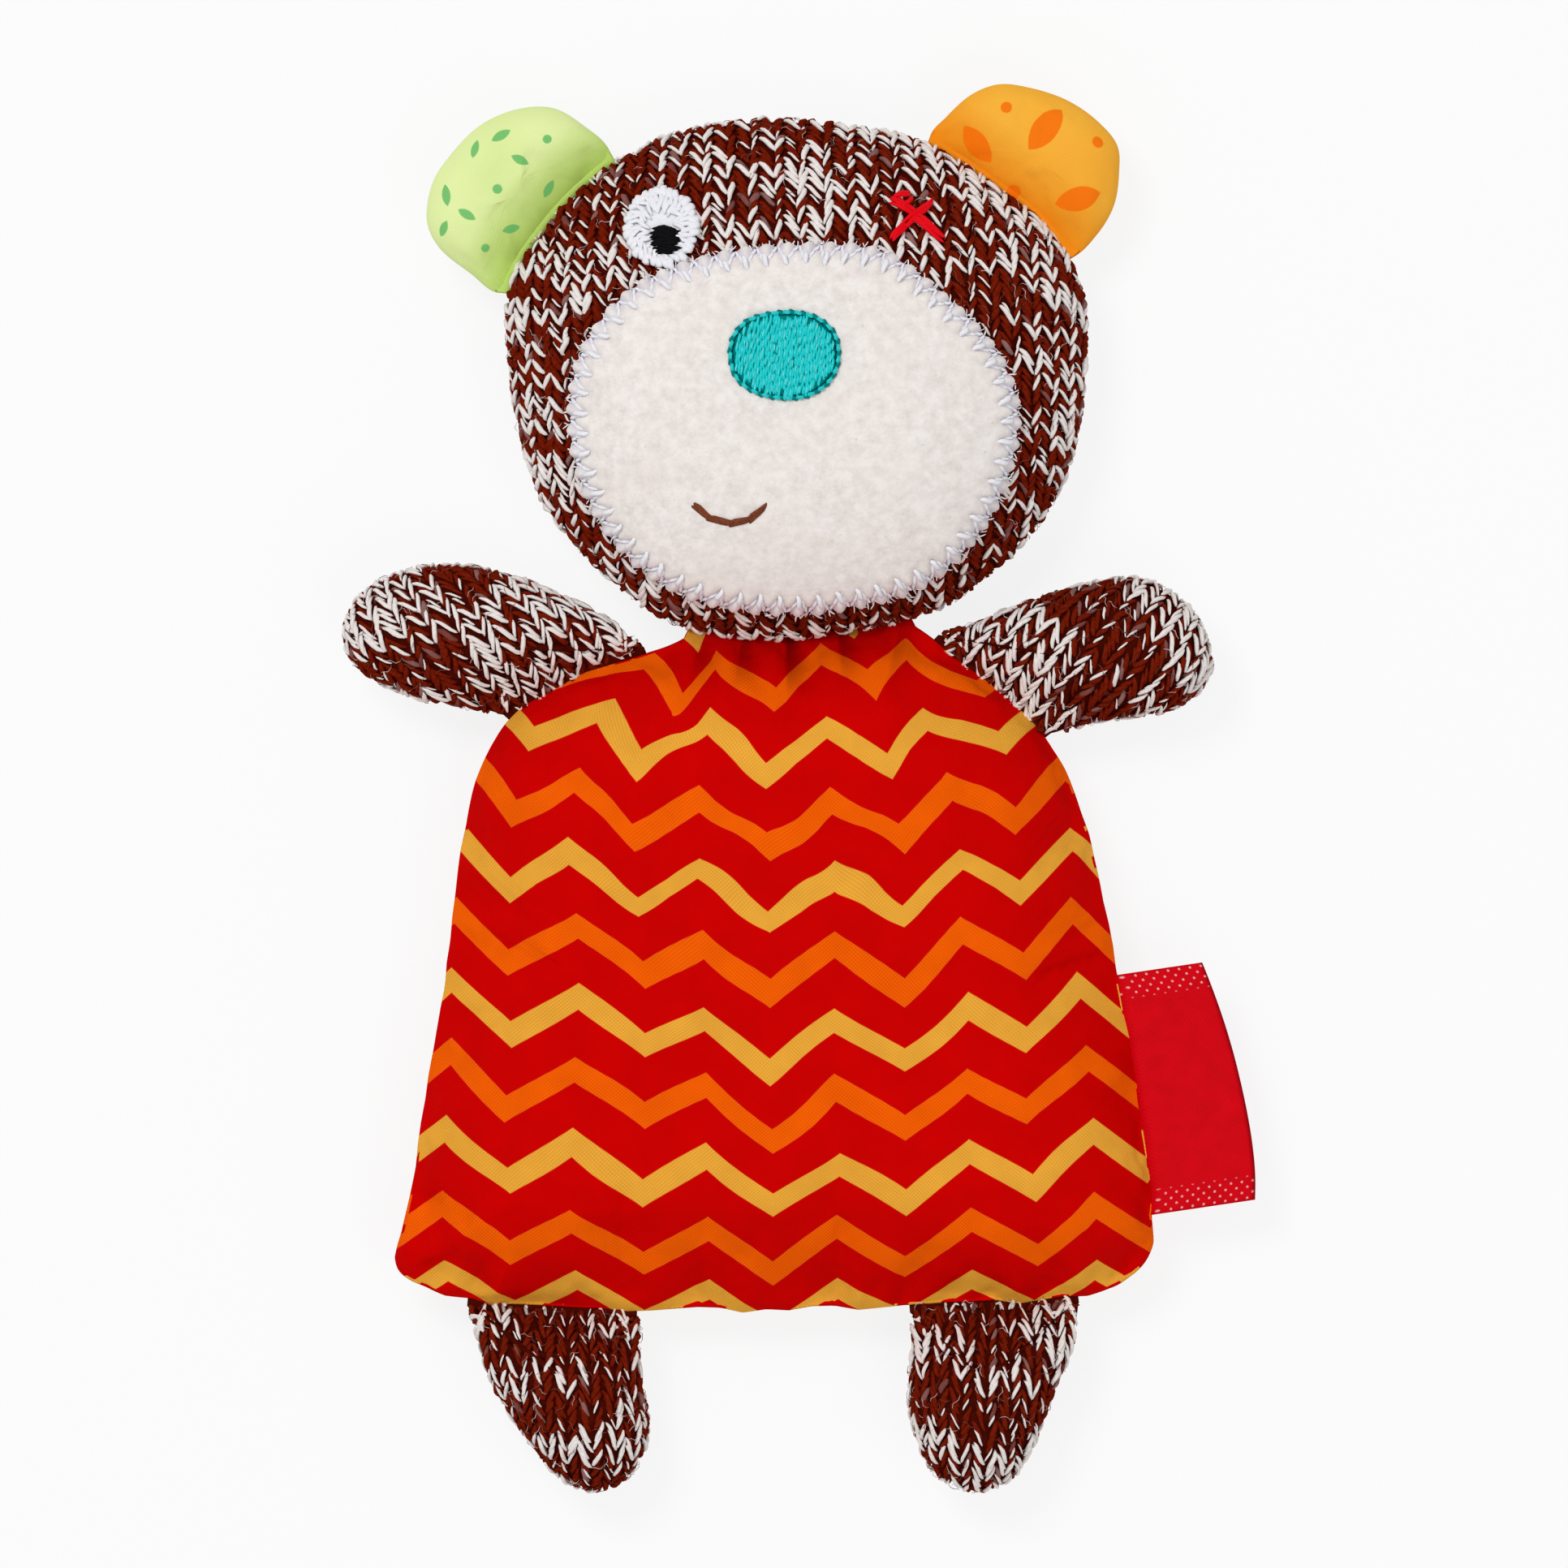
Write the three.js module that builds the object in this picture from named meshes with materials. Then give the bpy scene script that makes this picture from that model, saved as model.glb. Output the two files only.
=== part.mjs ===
// A flat stuffed bear that lies on its back, face up, with its head towards +Y.
// Lengths are millimetres. The origin is on the floor under the middle of the body, on the
// flat that the stuffed back rests on. Left and right are as seen from the front.
// Every stuffed piece is a front panel and a back panel, sewn along one seam at one height,
// round a filling. Its outline is a smooth closed curve, and its height grows from the seam
// inwards. Where two pieces meet, the smaller one's outline is cut along the larger one's.

import * as THREE from 'three';

// Cloths, threads and the room between pieces
const KNIT_THICKNESS = 1.2;
const PRINT_THICKNESS = 0.6;
const FELT_THICKNESS = 1.5;
const EMBROIDERY_THICKNESS = 0.8;
const THREAD_THICKNESS = 0.5;
const CLEARANCE = 0.3;
const FILLING_ROOM = 0.65;
const SEAM_GAP = 0.3;

// Where the seam runs, and how deep the stuffed backs are flattened by lying
const SEAM_HEIGHT = 7.5;
const FLAT_CUT = 0.5;
const BACK_CROWN = SEAM_HEIGHT + FLAT_CUT;

// Body bag
const BODY_WIDTH = 86.4;
const BODY_LENGTH = 76.3;
const BODY_CROWN = 8.5;
const BODY_REACH = 16;

// Head
const HEAD_WIDTH = 65.7;
const HEAD_LENGTH = 59.1;
const HEAD_SHIFT = 2.3;
const HEAD_CROWN = 12.5;
const HEAD_REACH = 22;

// Arms and legs
const ARM_WIDTH = 15;
const ARM_LENGTH = 27;
const ARM_REACH = 7.5;
const LEG_WIDTH = 20;
const LEG_LENGTH = 21;
const LEG_REACH = 8;
const LIMB_CROWN = 6.8;
const LIMB_ROOT_REACH = 11;

// Ears
const EAR_WIDTH = 24;
const EAR_LENGTH = 17;
const EAR_FRONT_CROWN = 2.6;
const EAR_BACK_CROWN = 2.2;
const EAR_REACH = 5;
const EAR_ROOT_REACH = 6;

// Muzzle patch: what it leaves free of the head, and how far it is moved off the middle
const CHEEK_MARGIN = 7.65;
const CHIN_MARGIN = 3.15;
const BROW_MARGIN = 14.65;
const MUZZLE_SHIFT = -0.4;

// Zigzag stitch that holds the muzzle patch
const ZIGZAG_PITCH = 2.6;
const ZIGZAG_DEPTH = 2;
const ZIGZAG_MARGIN = 0.6;
const THREAD_WIDTH = 0.5;

// Nose, its border stitch and the mouth; the places are shares of the muzzle's size
const NOSE_WIDTH = 12.8;
const NOSE_LENGTH = 10.2;
const NOSE_PLACE = [-0.02, 0.206];
const BORDER_WIDTH = 0.8;
const MOUTH_WIDTH = 6.8;
const MOUTH_DROP = 1.2;
const MOUTH_PLACE = [-0.14, -0.215];

// Eyes: their places in shares of the muzzle's size, and their gaps to its edge
const EYE_DIAMETER = 9.1;
const EYE_PLACE = [-0.294, 0.538];
const EYE_GAP = 0.5;
const PUPIL_DIAMETER = 3.2;
const PUPIL_DROP = 0.5;
const CROSS_PLACE = [0.274, 0.596];
const CROSS_GAP = 3.6;
const CROSS_WIDTH = 6;
const CROSS_LENGTH = 4.3;
const CROSS_THREAD_WIDTH = 1.2;

// Folded ribbon label in the side seam
const LABEL_LENGTH = 27.6;
const LABEL_TOP_WIDTH = 9.3;
const LABEL_BOTTOM_WIDTH = 11.3;
const LABEL_BULGE = 0.9;
const LABEL_PLY = 0.3;
const LABEL_FOLD_GAP = 0.2;
const LABEL_CLEARANCE = 0.4;

// Where the smaller pieces leave the larger ones, in shares of the larger piece's width and
// length: the seam is met on the line from its middle through this place
const ATTACH = {
  greenEar: [-0.406, 0.299],
  orangeEar: [0.364, 0.357],
  leftArm: [-0.258, 0.448],
  rightArm: [0.284, 0.426],
  leftLeg: [-0.29, -0.495],
  rightLeg: [0.286, -0.488],
  label: [0.477, -0.177],
  neck: [0, -0.5],
};

// Which way each limb and ear points, in degrees
const HEADING = {
  greenEar: 146.4,
  orangeEar: 41.5,
  leftArm: 169.3,
  rightArm: 12.5,
  leftLeg: -77.8,
  rightLeg: -95.9,
};

// How fast the stuffing rises from the seam: 1 is a plain arch, less is fuller at the edge
const FULLNESS = { body: 1, head: 0.7, limb: 0.6, ear: 0.7, root: 1 };

// How many faces the pieces get
const CURVE_STEPS = 240;
const BODY_POINTS = 38;
const HEAD_POINTS = 34;
const LIMB_POINTS = 20;
const EAR_POINTS = 16;
const MUZZLE_POINTS = 36;
const ROUND_POINTS = 20;
const LABEL_SECTIONS = 8;
const BODY_RINGS = [1, 0.9, 0.76, 0.58, 0.3];
const HEAD_RINGS = [1, 0.9, 0.72, 0.45, 0.15];
const LIMB_RINGS = [1, 0.85, 0.6, 0.25];
const EAR_RINGS = [1, 0.85, 0.6, 0.3];
const PATCH_RINGS = [1, 0.85, 0.6, 0.3];
const SMALL_RINGS = [1, 0.5];

// Outlines, anticlockwise, in shares of the piece's width and length
const BODY_SHAPE = [
  [-0.495, -0.445], [-0.46, -0.47], [-0.34, -0.495], [-0.17, -0.5], [0, -0.5], [0.175, -0.495],
  [0.4, -0.48], [0.46, -0.46], [0.49, -0.415], [0.495, -0.34], [0.475, -0.165], [0.445, 0.02],
  [0.41, 0.21], [0.375, 0.315], [0.315, 0.4], [0.235, 0.47], [0.165, 0.53], [0.09, 0.54],
  [0, 0.545], [-0.085, 0.525], [-0.14, 0.49], [-0.225, 0.46], [-0.295, 0.425], [-0.355, 0.375],
  [-0.395, 0.29], [-0.415, 0.185], [-0.435, 0], [-0.46, -0.165], [-0.48, -0.315], [-0.5, -0.415],
];
const HEAD_SHAPE = [
  [-0.215, 0.47], [-0.35, 0.39], [-0.445, 0.28], [-0.495, 0.185], [-0.5, 0.045], [-0.48, -0.115],
  [-0.435, -0.245], [-0.335, -0.375], [-0.215, -0.47], [-0.075, -0.5], [0.11, -0.485],
  [0.26, -0.435], [0.38, -0.33], [0.455, -0.215], [0.49, -0.08], [0.5, 0.045], [0.49, 0.185],
  [0.425, 0.3], [0.34, 0.375], [0.23, 0.45], [0.095, 0.485], [-0.05, 0.5],
];
const MUZZLE_SHAPE = [
  [-0.18, 0.47], [-0.36, 0.38], [-0.47, 0.22], [-0.5, 0.04], [-0.47, -0.16], [-0.37, -0.35],
  [-0.23, -0.46], [-0.07, -0.5], [0.11, -0.49], [0.3, -0.42], [0.43, -0.26], [0.49, -0.09],
  [0.5, 0.07], [0.45, 0.22], [0.33, 0.37], [0.2, 0.48], [0.04, 0.5],
];

// Limbs and ears: across, then outwards from the place where they are sewn in
const GREEN_EAR_SHAPE = [
  [0.25, -0.26], [0.41, -0.07], [0.44, 0.17], [0.43, 0.39], [0.34, 0.58], [0.17, 0.74],
  [-0.06, 0.8], [-0.19, 0.79], [-0.35, 0.68], [-0.42, 0.52], [-0.44, 0.25], [-0.44, 0.01],
  [-0.18, -0.14],
];
const ORANGE_EAR_SHAPE = [
  [0.28, -0.13], [0.43, 0.03], [0.43, 0.27], [0.38, 0.48], [0.28, 0.65], [0.18, 0.76],
  [0.03, 0.77], [-0.14, 0.71], [-0.3, 0.58], [-0.41, 0.44], [-0.46, 0.26], [-0.46, 0.03],
  [-0.44, -0.14], [-0.22, -0.31],
];
const LEFT_ARM_SHAPE = [
  [0.02, -0.26], [0.26, -0.26], [0.45, -0.07], [0.58, 0.19], [0.65, 0.4], [0.64, 0.6],
  [0.53, 0.81], [0.3, 0.97], [0, 1.02], [-0.26, 0.94], [-0.4, 0.69], [-0.42, 0.4],
  [-0.44, 0.26], [-0.39, 0.05],
];
const RIGHT_ARM_SHAPE = [
  [0.02, -0.15], [0.37, 0.02], [0.47, 0.19], [0.44, 0.33], [0.46, 0.57], [0.46, 0.74],
  [0.26, 0.9], [-0.03, 0.92], [-0.34, 0.85], [-0.56, 0.7], [-0.61, 0.51], [-0.58, 0.25],
  [-0.51, -0.01], [-0.43, -0.24],
];
const LEFT_LEG_SHAPE = [
  [0.17, -0.2], [0.47, -0.17], [0.47, 0.03], [0.44, 0.33], [0.31, 0.67], [0.18, 0.9], [0, 1.02],
  [-0.2, 0.98], [-0.33, 0.85], [-0.39, 0.68], [-0.4, 0.41], [-0.46, 0.06], [-0.24, -0.12],
];
const RIGHT_LEG_SHAPE = [
  [0.26, -0.11], [0.48, 0.02], [0.44, 0.28], [0.44, 0.53], [0.36, 0.79], [0.23, 0.96],
  [0.01, 1.03], [-0.18, 0.95], [-0.29, 0.77], [-0.38, 0.47], [-0.47, 0.17], [-0.47, -0.1],
  [-0.2, -0.16],
];

// Finishes
const cloth = (color, roughness = 0.9) => {
  return new THREE.MeshStandardMaterial({ color, roughness, metalness: 0 });
};
const KNIT = cloth(0x9a7f74);
const PRINT = cloth(0xd2431a, 0.6);
const GREEN_CLOTH = cloth(0xc8e182, 0.8);
const ORANGE_CLOTH = cloth(0xffa52d, 0.8);
const FELT = cloth(0xeeeae4, 1);
const FILLING = cloth(0xf4f2ee, 1);
const WHITE_THREAD = cloth(0xf5f4f0, 0.7);
const TEAL_THREAD = cloth(0x14b4af, 0.5);
const BLACK_THREAD = cloth(0x0c0c0e, 0.6);
const RED_THREAD = cloth(0xc01515, 0.7);
const BROWN_THREAD = cloth(0x3c160c, 0.8);
const LABEL_RIBBON = cloth(0xde0028, 0.6);

// Plane geometry

function direction(degrees) {
  const angle = THREE.MathUtils.degToRad(degrees);
  return new THREE.Vector2(Math.cos(angle), Math.sin(angle));
}

function sharesOf(centre, width, length) {
  return ([u, v]) => new THREE.Vector2(centre.x + u * width, centre.y + v * length);
}

// Shares laid out from a root: v runs outwards along the heading, u across it
function sharesFrom(root, degrees, width, length) {
  const outwards = direction(degrees);
  const across = new THREE.Vector2(outwards.y, -outwards.x);
  return ([u, v]) => {
    return root.clone().addScaledVector(across, u * width).addScaledVector(outwards, v * length);
  };
}

function smoothOutline(shape, place) {
  const knots = shape.map(place).map((point) => new THREE.Vector3(point.x, point.y, 0));
  const curve = new THREE.CatmullRomCurve3(knots, true, 'centripetal');
  const points = curve.getSpacedPoints(CURVE_STEPS).slice(0, -1);
  return points.map((point) => new THREE.Vector2(point.x, point.y));
}

function outwardNormal(from, to) {
  return new THREE.Vector2(to.y - from.y, from.x - to.x).normalize();
}

// Moves a closed anticlockwise outline outwards, or inwards by a negative distance
function offsetOutline(outline, distance) {
  const SHARPEST = 0.5;
  return outline.map((point, i) => {
    const before = outline.at(i - 1);
    const after = outline[(i + 1) % outline.length];
    const side = outwardNormal(point, after);
    const middle = outwardNormal(before, point).add(side).normalize();
    const mitre = distance / Math.max(middle.dot(side), SHARPEST);
    return point.clone().addScaledVector(middle, mitre);
  });
}

function nearestOnSegment(point, from, to) {
  const span = to.clone().sub(from);
  const share = point.clone().sub(from).dot(span) / span.lengthSq();
  return from.clone().addScaledVector(span, THREE.MathUtils.clamp(share, 0, 1));
}

function distanceToChain(point, chain) {
  let least = Infinity;
  for (let i = 1; i < chain.length; i += 1) {
    least = Math.min(least, nearestOnSegment(point, chain[i - 1], chain[i]).distanceTo(point));
  }
  return least;
}

const closedChain = (outline) => [...outline, outline[0]];

function isInside(point, outline) {
  let inside = false;
  outline.forEach((a, i) => {
    const b = outline.at(i - 1);
    if (a.y > point.y === b.y > point.y) {
      return;
    }
    const crossing = a.x + ((point.y - a.y) / (b.y - a.y)) * (b.x - a.x);
    inside = point.x < crossing ? !inside : inside;
  });
  return inside;
}

// Where a segment that leaves an outline crosses it, found by halving
function crossingPoint(insidePoint, outsidePoint, outline) {
  const HALVINGS = 24;
  const near = insidePoint.clone();
  const far = outsidePoint.clone();
  for (let i = 0; i < HALVINGS; i += 1) {
    const middle = near.clone().lerp(far, 0.5);
    (isInside(middle, outline) ? near : far).copy(middle);
  }
  return far;
}

// Where the line from a middle through a place meets an outline round it
function hitThrough(middle, place, outline) {
  const reach = 2 * Math.max(...outline.map((point) => point.distanceTo(middle)));
  const heading = place.clone().sub(middle).normalize();
  return crossingPoint(middle, middle.clone().addScaledVector(heading, reach), outline);
}

// The index of the outline's segment that a point lies on
function segmentAt(point, outline) {
  const chain = closedChain(outline);
  const distances = outline.map((from, i) => distanceToChain(point, [from, chain[i + 1]]));
  return distances.indexOf(Math.min(...distances));
}

// Cuts an outline where it enters a larger one. The free chain is what stays outside, and
// the root chain closes it along the larger outline, run the other way round.
function cutOutline(outline, larger) {
  const count = outline.length;
  const outside = outline.map((point) => !isInside(point, larger));
  const start = outside.findIndex((out, i) => out && !outside.at(i - 1));
  let length = 0;
  while (outside[(start + length) % count]) {
    length += 1;
  }
  const run = Array.from({ length }, (_, i) => outline[(start + i) % count]);
  const first = crossingPoint(outline.at(start - 1), run[0], larger);
  const last = crossingPoint(outline[(start + length) % count], run.at(-1), larger);
  const root = [last];
  let index = segmentAt(last, larger);
  const end = segmentAt(first, larger);
  while (index !== end) {
    root.push(larger[index]);
    index = (index + larger.length - 1) % larger.length;
  }
  root.push(first);
  return { free: [first, ...run, last], root };
}

function chainLength(chain) {
  return chain.reduce((sum, point, i) => (i ? sum + point.distanceTo(chain[i - 1]) : 0), 0);
}

function pointAlong(chain, distance) {
  let left = distance;
  for (let i = 1; i < chain.length; i += 1) {
    const step = chain[i].distanceTo(chain[i - 1]);
    if (left <= step) {
      return chain[i - 1].clone().lerp(chain[i], left / step);
    }
    left -= step;
  }
  return chain.at(-1).clone();
}

// Evenly spaced points from a chain's start, without its end
function spread(chain, count) {
  const total = chainLength(chain);
  return Array.from({ length: count }, (_, i) => pointAlong(chain, (total * i) / count));
}

function ellipse(centre, width, length, count) {
  return Array.from({ length: count }, (_, i) => {
    const unit = direction((360 * i) / count);
    return new THREE.Vector2(centre.x + (unit.x * width) / 2, centre.y + (unit.y * length) / 2);
  });
}

// Solid geometry

function solid(corners, faces) {
  const geometry = new THREE.BufferGeometry();
  const volume = faces.reduce((sum, [a, b, c]) => {
    return sum + corners[a].dot(corners[b].clone().cross(corners[c]));
  }, 0);
  const facingOut = volume > 0 ? faces : faces.map(([a, b, c]) => [a, c, b]);
  const positions = corners.flatMap((corner) => corner.toArray());
  geometry.setAttribute('position', new THREE.Float32BufferAttribute(positions, 3));
  geometry.setIndex(facingOut.flat());
  geometry.computeVertexNormals();
  return geometry;
}

// Faces between loops of equal length, each loop joined to the next
function bands(loopCount, size, isRing) {
  const faces = [];
  const last = isRing ? loopCount : loopCount - 1;
  for (let loop = 0; loop < last; loop += 1) {
    for (let i = 0; i < size; i += 1) {
      const next = (i + 1) % size;
      const here = loop * size;
      const there = ((loop + 1) % loopCount) * size;
      faces.push([here + i, there + i, here + next]);
      faces.push([here + next, there + i, there + next]);
    }
  }
  return faces;
}

const planOf = (loop) => loop.map((corner) => new THREE.Vector2(corner.x, corner.y));

// The triangles of a flat cap, wound the way that the loop runs
function capFaces(contour, first) {
  const faces = THREE.ShapeUtils.triangulateShape(contour, []);
  const wound = THREE.ShapeUtils.isClockWise(contour) ? faces.map(([a, b, c]) => [a, c, b]) : faces;
  return wound.map((face) => face.map((corner) => first + corner));
}

// A solid through loops, closed by a flat cap at both ends. The contour is a loop's flat
// shape, which tells how the caps are cut into triangles.
function loft(loops, contourOf = planOf) {
  const size = loops[0].length;
  const faces = bands(loops.length, size, false);
  const startCap = capFaces(contourOf(loops[0]), 0);
  const endCap = capFaces(contourOf(loops.at(-1)), (loops.length - 1) * size);
  faces.push(...startCap, ...endCap.map(([a, b, c]) => [a, c, b]));
  return solid(loops.flat(), faces);
}

// A solid through sections that close on themselves
function ring(sections) {
  return solid(sections.flat(), bands(sections.length, sections[0].length, true));
}

// Stuffed pieces

// A stuffed piece's height above or below the seam at a point of its plan. The inset is the
// thickness of what lies outside the surface that is asked for.
function heightAt(pillow, point, side, inset) {
  const crown = (side > 0 ? pillow.crown : pillow.backCrown) - inset;
  const toRim = distanceToChain(point, pillow.rim) - inset;
  const swelled = crown * swell(toRim, pillow.reach, pillow.fullness);
  if (!pillow.root) {
    return swelled;
  }
  const toRoot = distanceToChain(point, pillow.root) - inset;
  return swelled * swell(toRoot, pillow.rootReach, FULLNESS.root);
}

function swell(distance, reach, fullness) {
  const share = THREE.MathUtils.clamp(distance / reach, 0, 1);
  return (1 - (1 - share) ** 2) ** fullness;
}

// The surface's level above the floor, on which the backs are pressed flat
function levelAt(pillow, point, side, inset, seamLift) {
  const height = heightAt(pillow, point, side, inset) + seamLift;
  return side > 0 ? SEAM_HEIGHT + height : Math.max(inset, SEAM_HEIGHT - height);
}

function towardsSpine(point, [from, to], share) {
  return nearestOnSegment(point, from, to).lerp(point, share);
}

// Loops from the seam inwards over one side of a stuffed piece
function sideLoops(pillow, side, inset, seamLift) {
  const edge = offsetOutline(pillow.outline, -inset);
  return pillow.rings.map((share) => {
    return edge.map((corner) => {
      const point = towardsSpine(corner, pillow.spine, share);
      const level = levelAt(pillow, point, side, inset, seamLift);
      const atSeam = SEAM_HEIGHT + side * seamLift;
      return new THREE.Vector3(point.x, point.y, share === 1 ? atSeam : level);
    });
  });
}

function panelGeometry(pillow, side) {
  const outer = sideLoops(pillow, side, 0, SEAM_GAP / 2);
  const inner = sideLoops(pillow, side, pillow.thickness, SEAM_GAP / 2);
  return loft([...outer.reverse(), ...inner]);
}

function fillingGeometry(pillow) {
  const inset = pillow.thickness + FILLING_ROOM;
  const front = sideLoops(pillow, 1, inset, 0);
  const back = sideLoops(pillow, -1, inset, 0);
  return loft([...front.reverse(), ...back.slice(1)]);
}

function mesh(name, geometry, material) {
  const piece = new THREE.Mesh(geometry, material);
  piece.name = name;
  return piece;
}

function stuffedPiece(name, pillow, material, fillingName) {
  const piece = new THREE.Group();
  piece.add(mesh(`${name}_front_panel`, panelGeometry(pillow, 1), material));
  piece.add(mesh(`${name}_back_panel`, panelGeometry(pillow, -1), material));
  piece.add(mesh(fillingName, fillingGeometry(pillow), FILLING));
  return piece;
}

// The hinge of a sewn-in piece: its root's middle on the larger outline, and the seam's
// direction there. A positive turn lifts what lies outside the outline towards the front.
function hingeAt(outline, root) {
  const index = segmentAt(root, outline);
  const along = outline[index].clone().sub(outline[(index + 1) % outline.length]).normalize();
  return { point: [root.x, root.y, SEAM_HEIGHT], axis: [along.x, along.y, 0] };
}

// Head and body, whose outlines the other pieces are cut along
const bodyMiddle = new THREE.Vector2(0, 0);
const headMiddle = new THREE.Vector2(HEAD_SHIFT, (BODY_LENGTH + HEAD_LENGTH) / 2);
const onBody = sharesOf(bodyMiddle, BODY_WIDTH, BODY_LENGTH);
const onHead = sharesOf(headMiddle, HEAD_WIDTH, HEAD_LENGTH);
const headOutline = smoothOutline(HEAD_SHAPE, onHead);
const headEdge = offsetOutline(headOutline, CLEARANCE);
const bodyOutline = smoothOutline(BODY_SHAPE, onBody);
const bodyEdge = offsetOutline(bodyOutline, CLEARANCE);

const headPillow = {
  outline: spread(closedChain(headOutline), HEAD_POINTS),
  rim: closedChain(headOutline),
  rings: HEAD_RINGS,
  spine: [onHead([-0.1, 0]), onHead([0.1, 0])],
  thickness: KNIT_THICKNESS,
  crown: HEAD_CROWN,
  backCrown: BACK_CROWN,
  reach: HEAD_REACH,
  fullness: FULLNESS.head,
};

const NECK_POINTS = 8;
const bodyCut = cutOutline(bodyOutline, headEdge);
const bodyPillow = {
  outline: [...spread(bodyCut.free, BODY_POINTS - NECK_POINTS), ...spread(bodyCut.root, NECK_POINTS)],
  rim: [...bodyCut.free, ...bodyCut.root.slice(1)],
  rings: BODY_RINGS,
  spine: [onBody([-0.2, -0.05]), onBody([0.2, -0.05])],
  thickness: PRINT_THICKNESS,
  crown: BODY_CROWN,
  backCrown: BACK_CROWN,
  reach: BODY_REACH,
  fullness: FULLNESS.body,
};

// A piece sewn into a larger piece's seam. Its spine is given in shares of its own size.
function sewnPiece({ shape, attach, heading, width, length, spine, points, on, ...form }) {
  const root = hitThrough(on.middle, on.place(attach), on.outline);
  const place = sharesFrom(root, heading, width, length);
  const cut = cutOutline(smoothOutline(shape, place), on.edge);
  const rootCount = Math.round((points * chainLength(cut.root)) / chainLength([...cut.free, ...cut.root]));
  return {
    ...form,
    outline: [...spread(cut.free, points - rootCount), ...spread(cut.root, rootCount)],
    rim: cut.free,
    root: closedChain(on.edge),
    spine: spine.map(place),
    hinge: hingeAt(on.outline, root),
  };
}

const onHeadSeam = { middle: headMiddle, place: onHead, outline: headOutline, edge: headEdge };
const onBodySeam = { middle: bodyMiddle, place: onBody, outline: bodyOutline, edge: bodyEdge };
const earForm = {
  on: onHeadSeam,
  width: EAR_WIDTH,
  length: EAR_LENGTH,
  points: EAR_POINTS,
  rings: EAR_RINGS,
  thickness: PRINT_THICKNESS,
  crown: EAR_FRONT_CROWN,
  backCrown: EAR_BACK_CROWN,
  reach: EAR_REACH,
  fullness: FULLNESS.ear,
  rootReach: EAR_ROOT_REACH,
};
const limbForm = {
  on: onBodySeam,
  points: LIMB_POINTS,
  rings: LIMB_RINGS,
  thickness: KNIT_THICKNESS,
  crown: LIMB_CROWN,
  backCrown: BACK_CROWN,
  fullness: FULLNESS.limb,
  rootReach: LIMB_ROOT_REACH,
};
const armForm = { ...limbForm, width: ARM_WIDTH, length: ARM_LENGTH, reach: ARM_REACH };
const legForm = { ...limbForm, width: LEG_WIDTH, length: LEG_LENGTH, reach: LEG_REACH };

const greenEar = sewnPiece({
  ...earForm,
  shape: GREEN_EAR_SHAPE,
  attach: ATTACH.greenEar,
  heading: HEADING.greenEar,
  spine: [[-0.05, 0.3], [0.05, 0.3]],
});
const orangeEar = sewnPiece({
  ...earForm,
  shape: ORANGE_EAR_SHAPE,
  attach: ATTACH.orangeEar,
  heading: HEADING.orangeEar,
  spine: [[-0.05, 0.3], [0.05, 0.3]],
});
const leftArm = sewnPiece({
  ...armForm,
  shape: LEFT_ARM_SHAPE,
  attach: ATTACH.leftArm,
  heading: HEADING.leftArm,
  spine: [[0.08, 0.38], [0.1, 0.66]],
});
const rightArm = sewnPiece({
  ...armForm,
  shape: RIGHT_ARM_SHAPE,
  attach: ATTACH.rightArm,
  heading: HEADING.rightArm,
  spine: [[-0.06, 0.38], [-0.06, 0.58]],
});
const leftLeg = sewnPiece({
  ...legForm,
  shape: LEFT_LEG_SHAPE,
  attach: ATTACH.leftLeg,
  heading: HEADING.leftLeg,
  spine: [[0, 0.42], [-0.03, 0.58]],
});
const rightLeg = sewnPiece({
  ...legForm,
  shape: RIGHT_LEG_SHAPE,
  attach: ATTACH.rightLeg,
  heading: HEADING.rightLeg,
  spine: [[0.02, 0.42], [0.03, 0.58]],
});

// Pieces that lie on the face

// A point above the head's front, lifted square to its surface
function onFace(point, lift) {
  const STEP = 0.4;
  const level = (dx, dy) => {
    const near = new THREE.Vector2(point.x + dx, point.y + dy);
    return levelAt(headPillow, near, 1, 0, SEAM_GAP / 2);
  };
  const slopeX = (level(STEP, 0) - level(-STEP, 0)) / (2 * STEP);
  const slopeY = (level(0, STEP) - level(0, -STEP)) / (2 * STEP);
  const normal = new THREE.Vector3(-slopeX, -slopeY, 1).normalize();
  return new THREE.Vector3(point.x, point.y, level(0, 0)).addScaledVector(normal, lift);
}

// A patch of cloth or stitches whose underside is lifted off the head's surface
function patchGeometry(outline, spine, rings, lift, thickness) {
  const loopsAt = (height) => rings.map((share) => {
    return outline.map((corner) => onFace(towardsSpine(corner, spine, share), height));
  });
  return loft([...loopsAt(lift + thickness).reverse(), ...loopsAt(lift)]);
}

// Square sections of a flat band between two lines of points
function bandSections(outerLine, innerLine, lift, thickness) {
  return outerLine.map((outer, i) => [
    onFace(outer, lift),
    onFace(outer, lift + thickness),
    onFace(innerLine[i], lift + thickness),
    onFace(innerLine[i], lift),
  ]);
}

const feltLift = CLEARANCE;
const onFeltLift = feltLift + FELT_THICKNESS + CLEARANCE;

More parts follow.
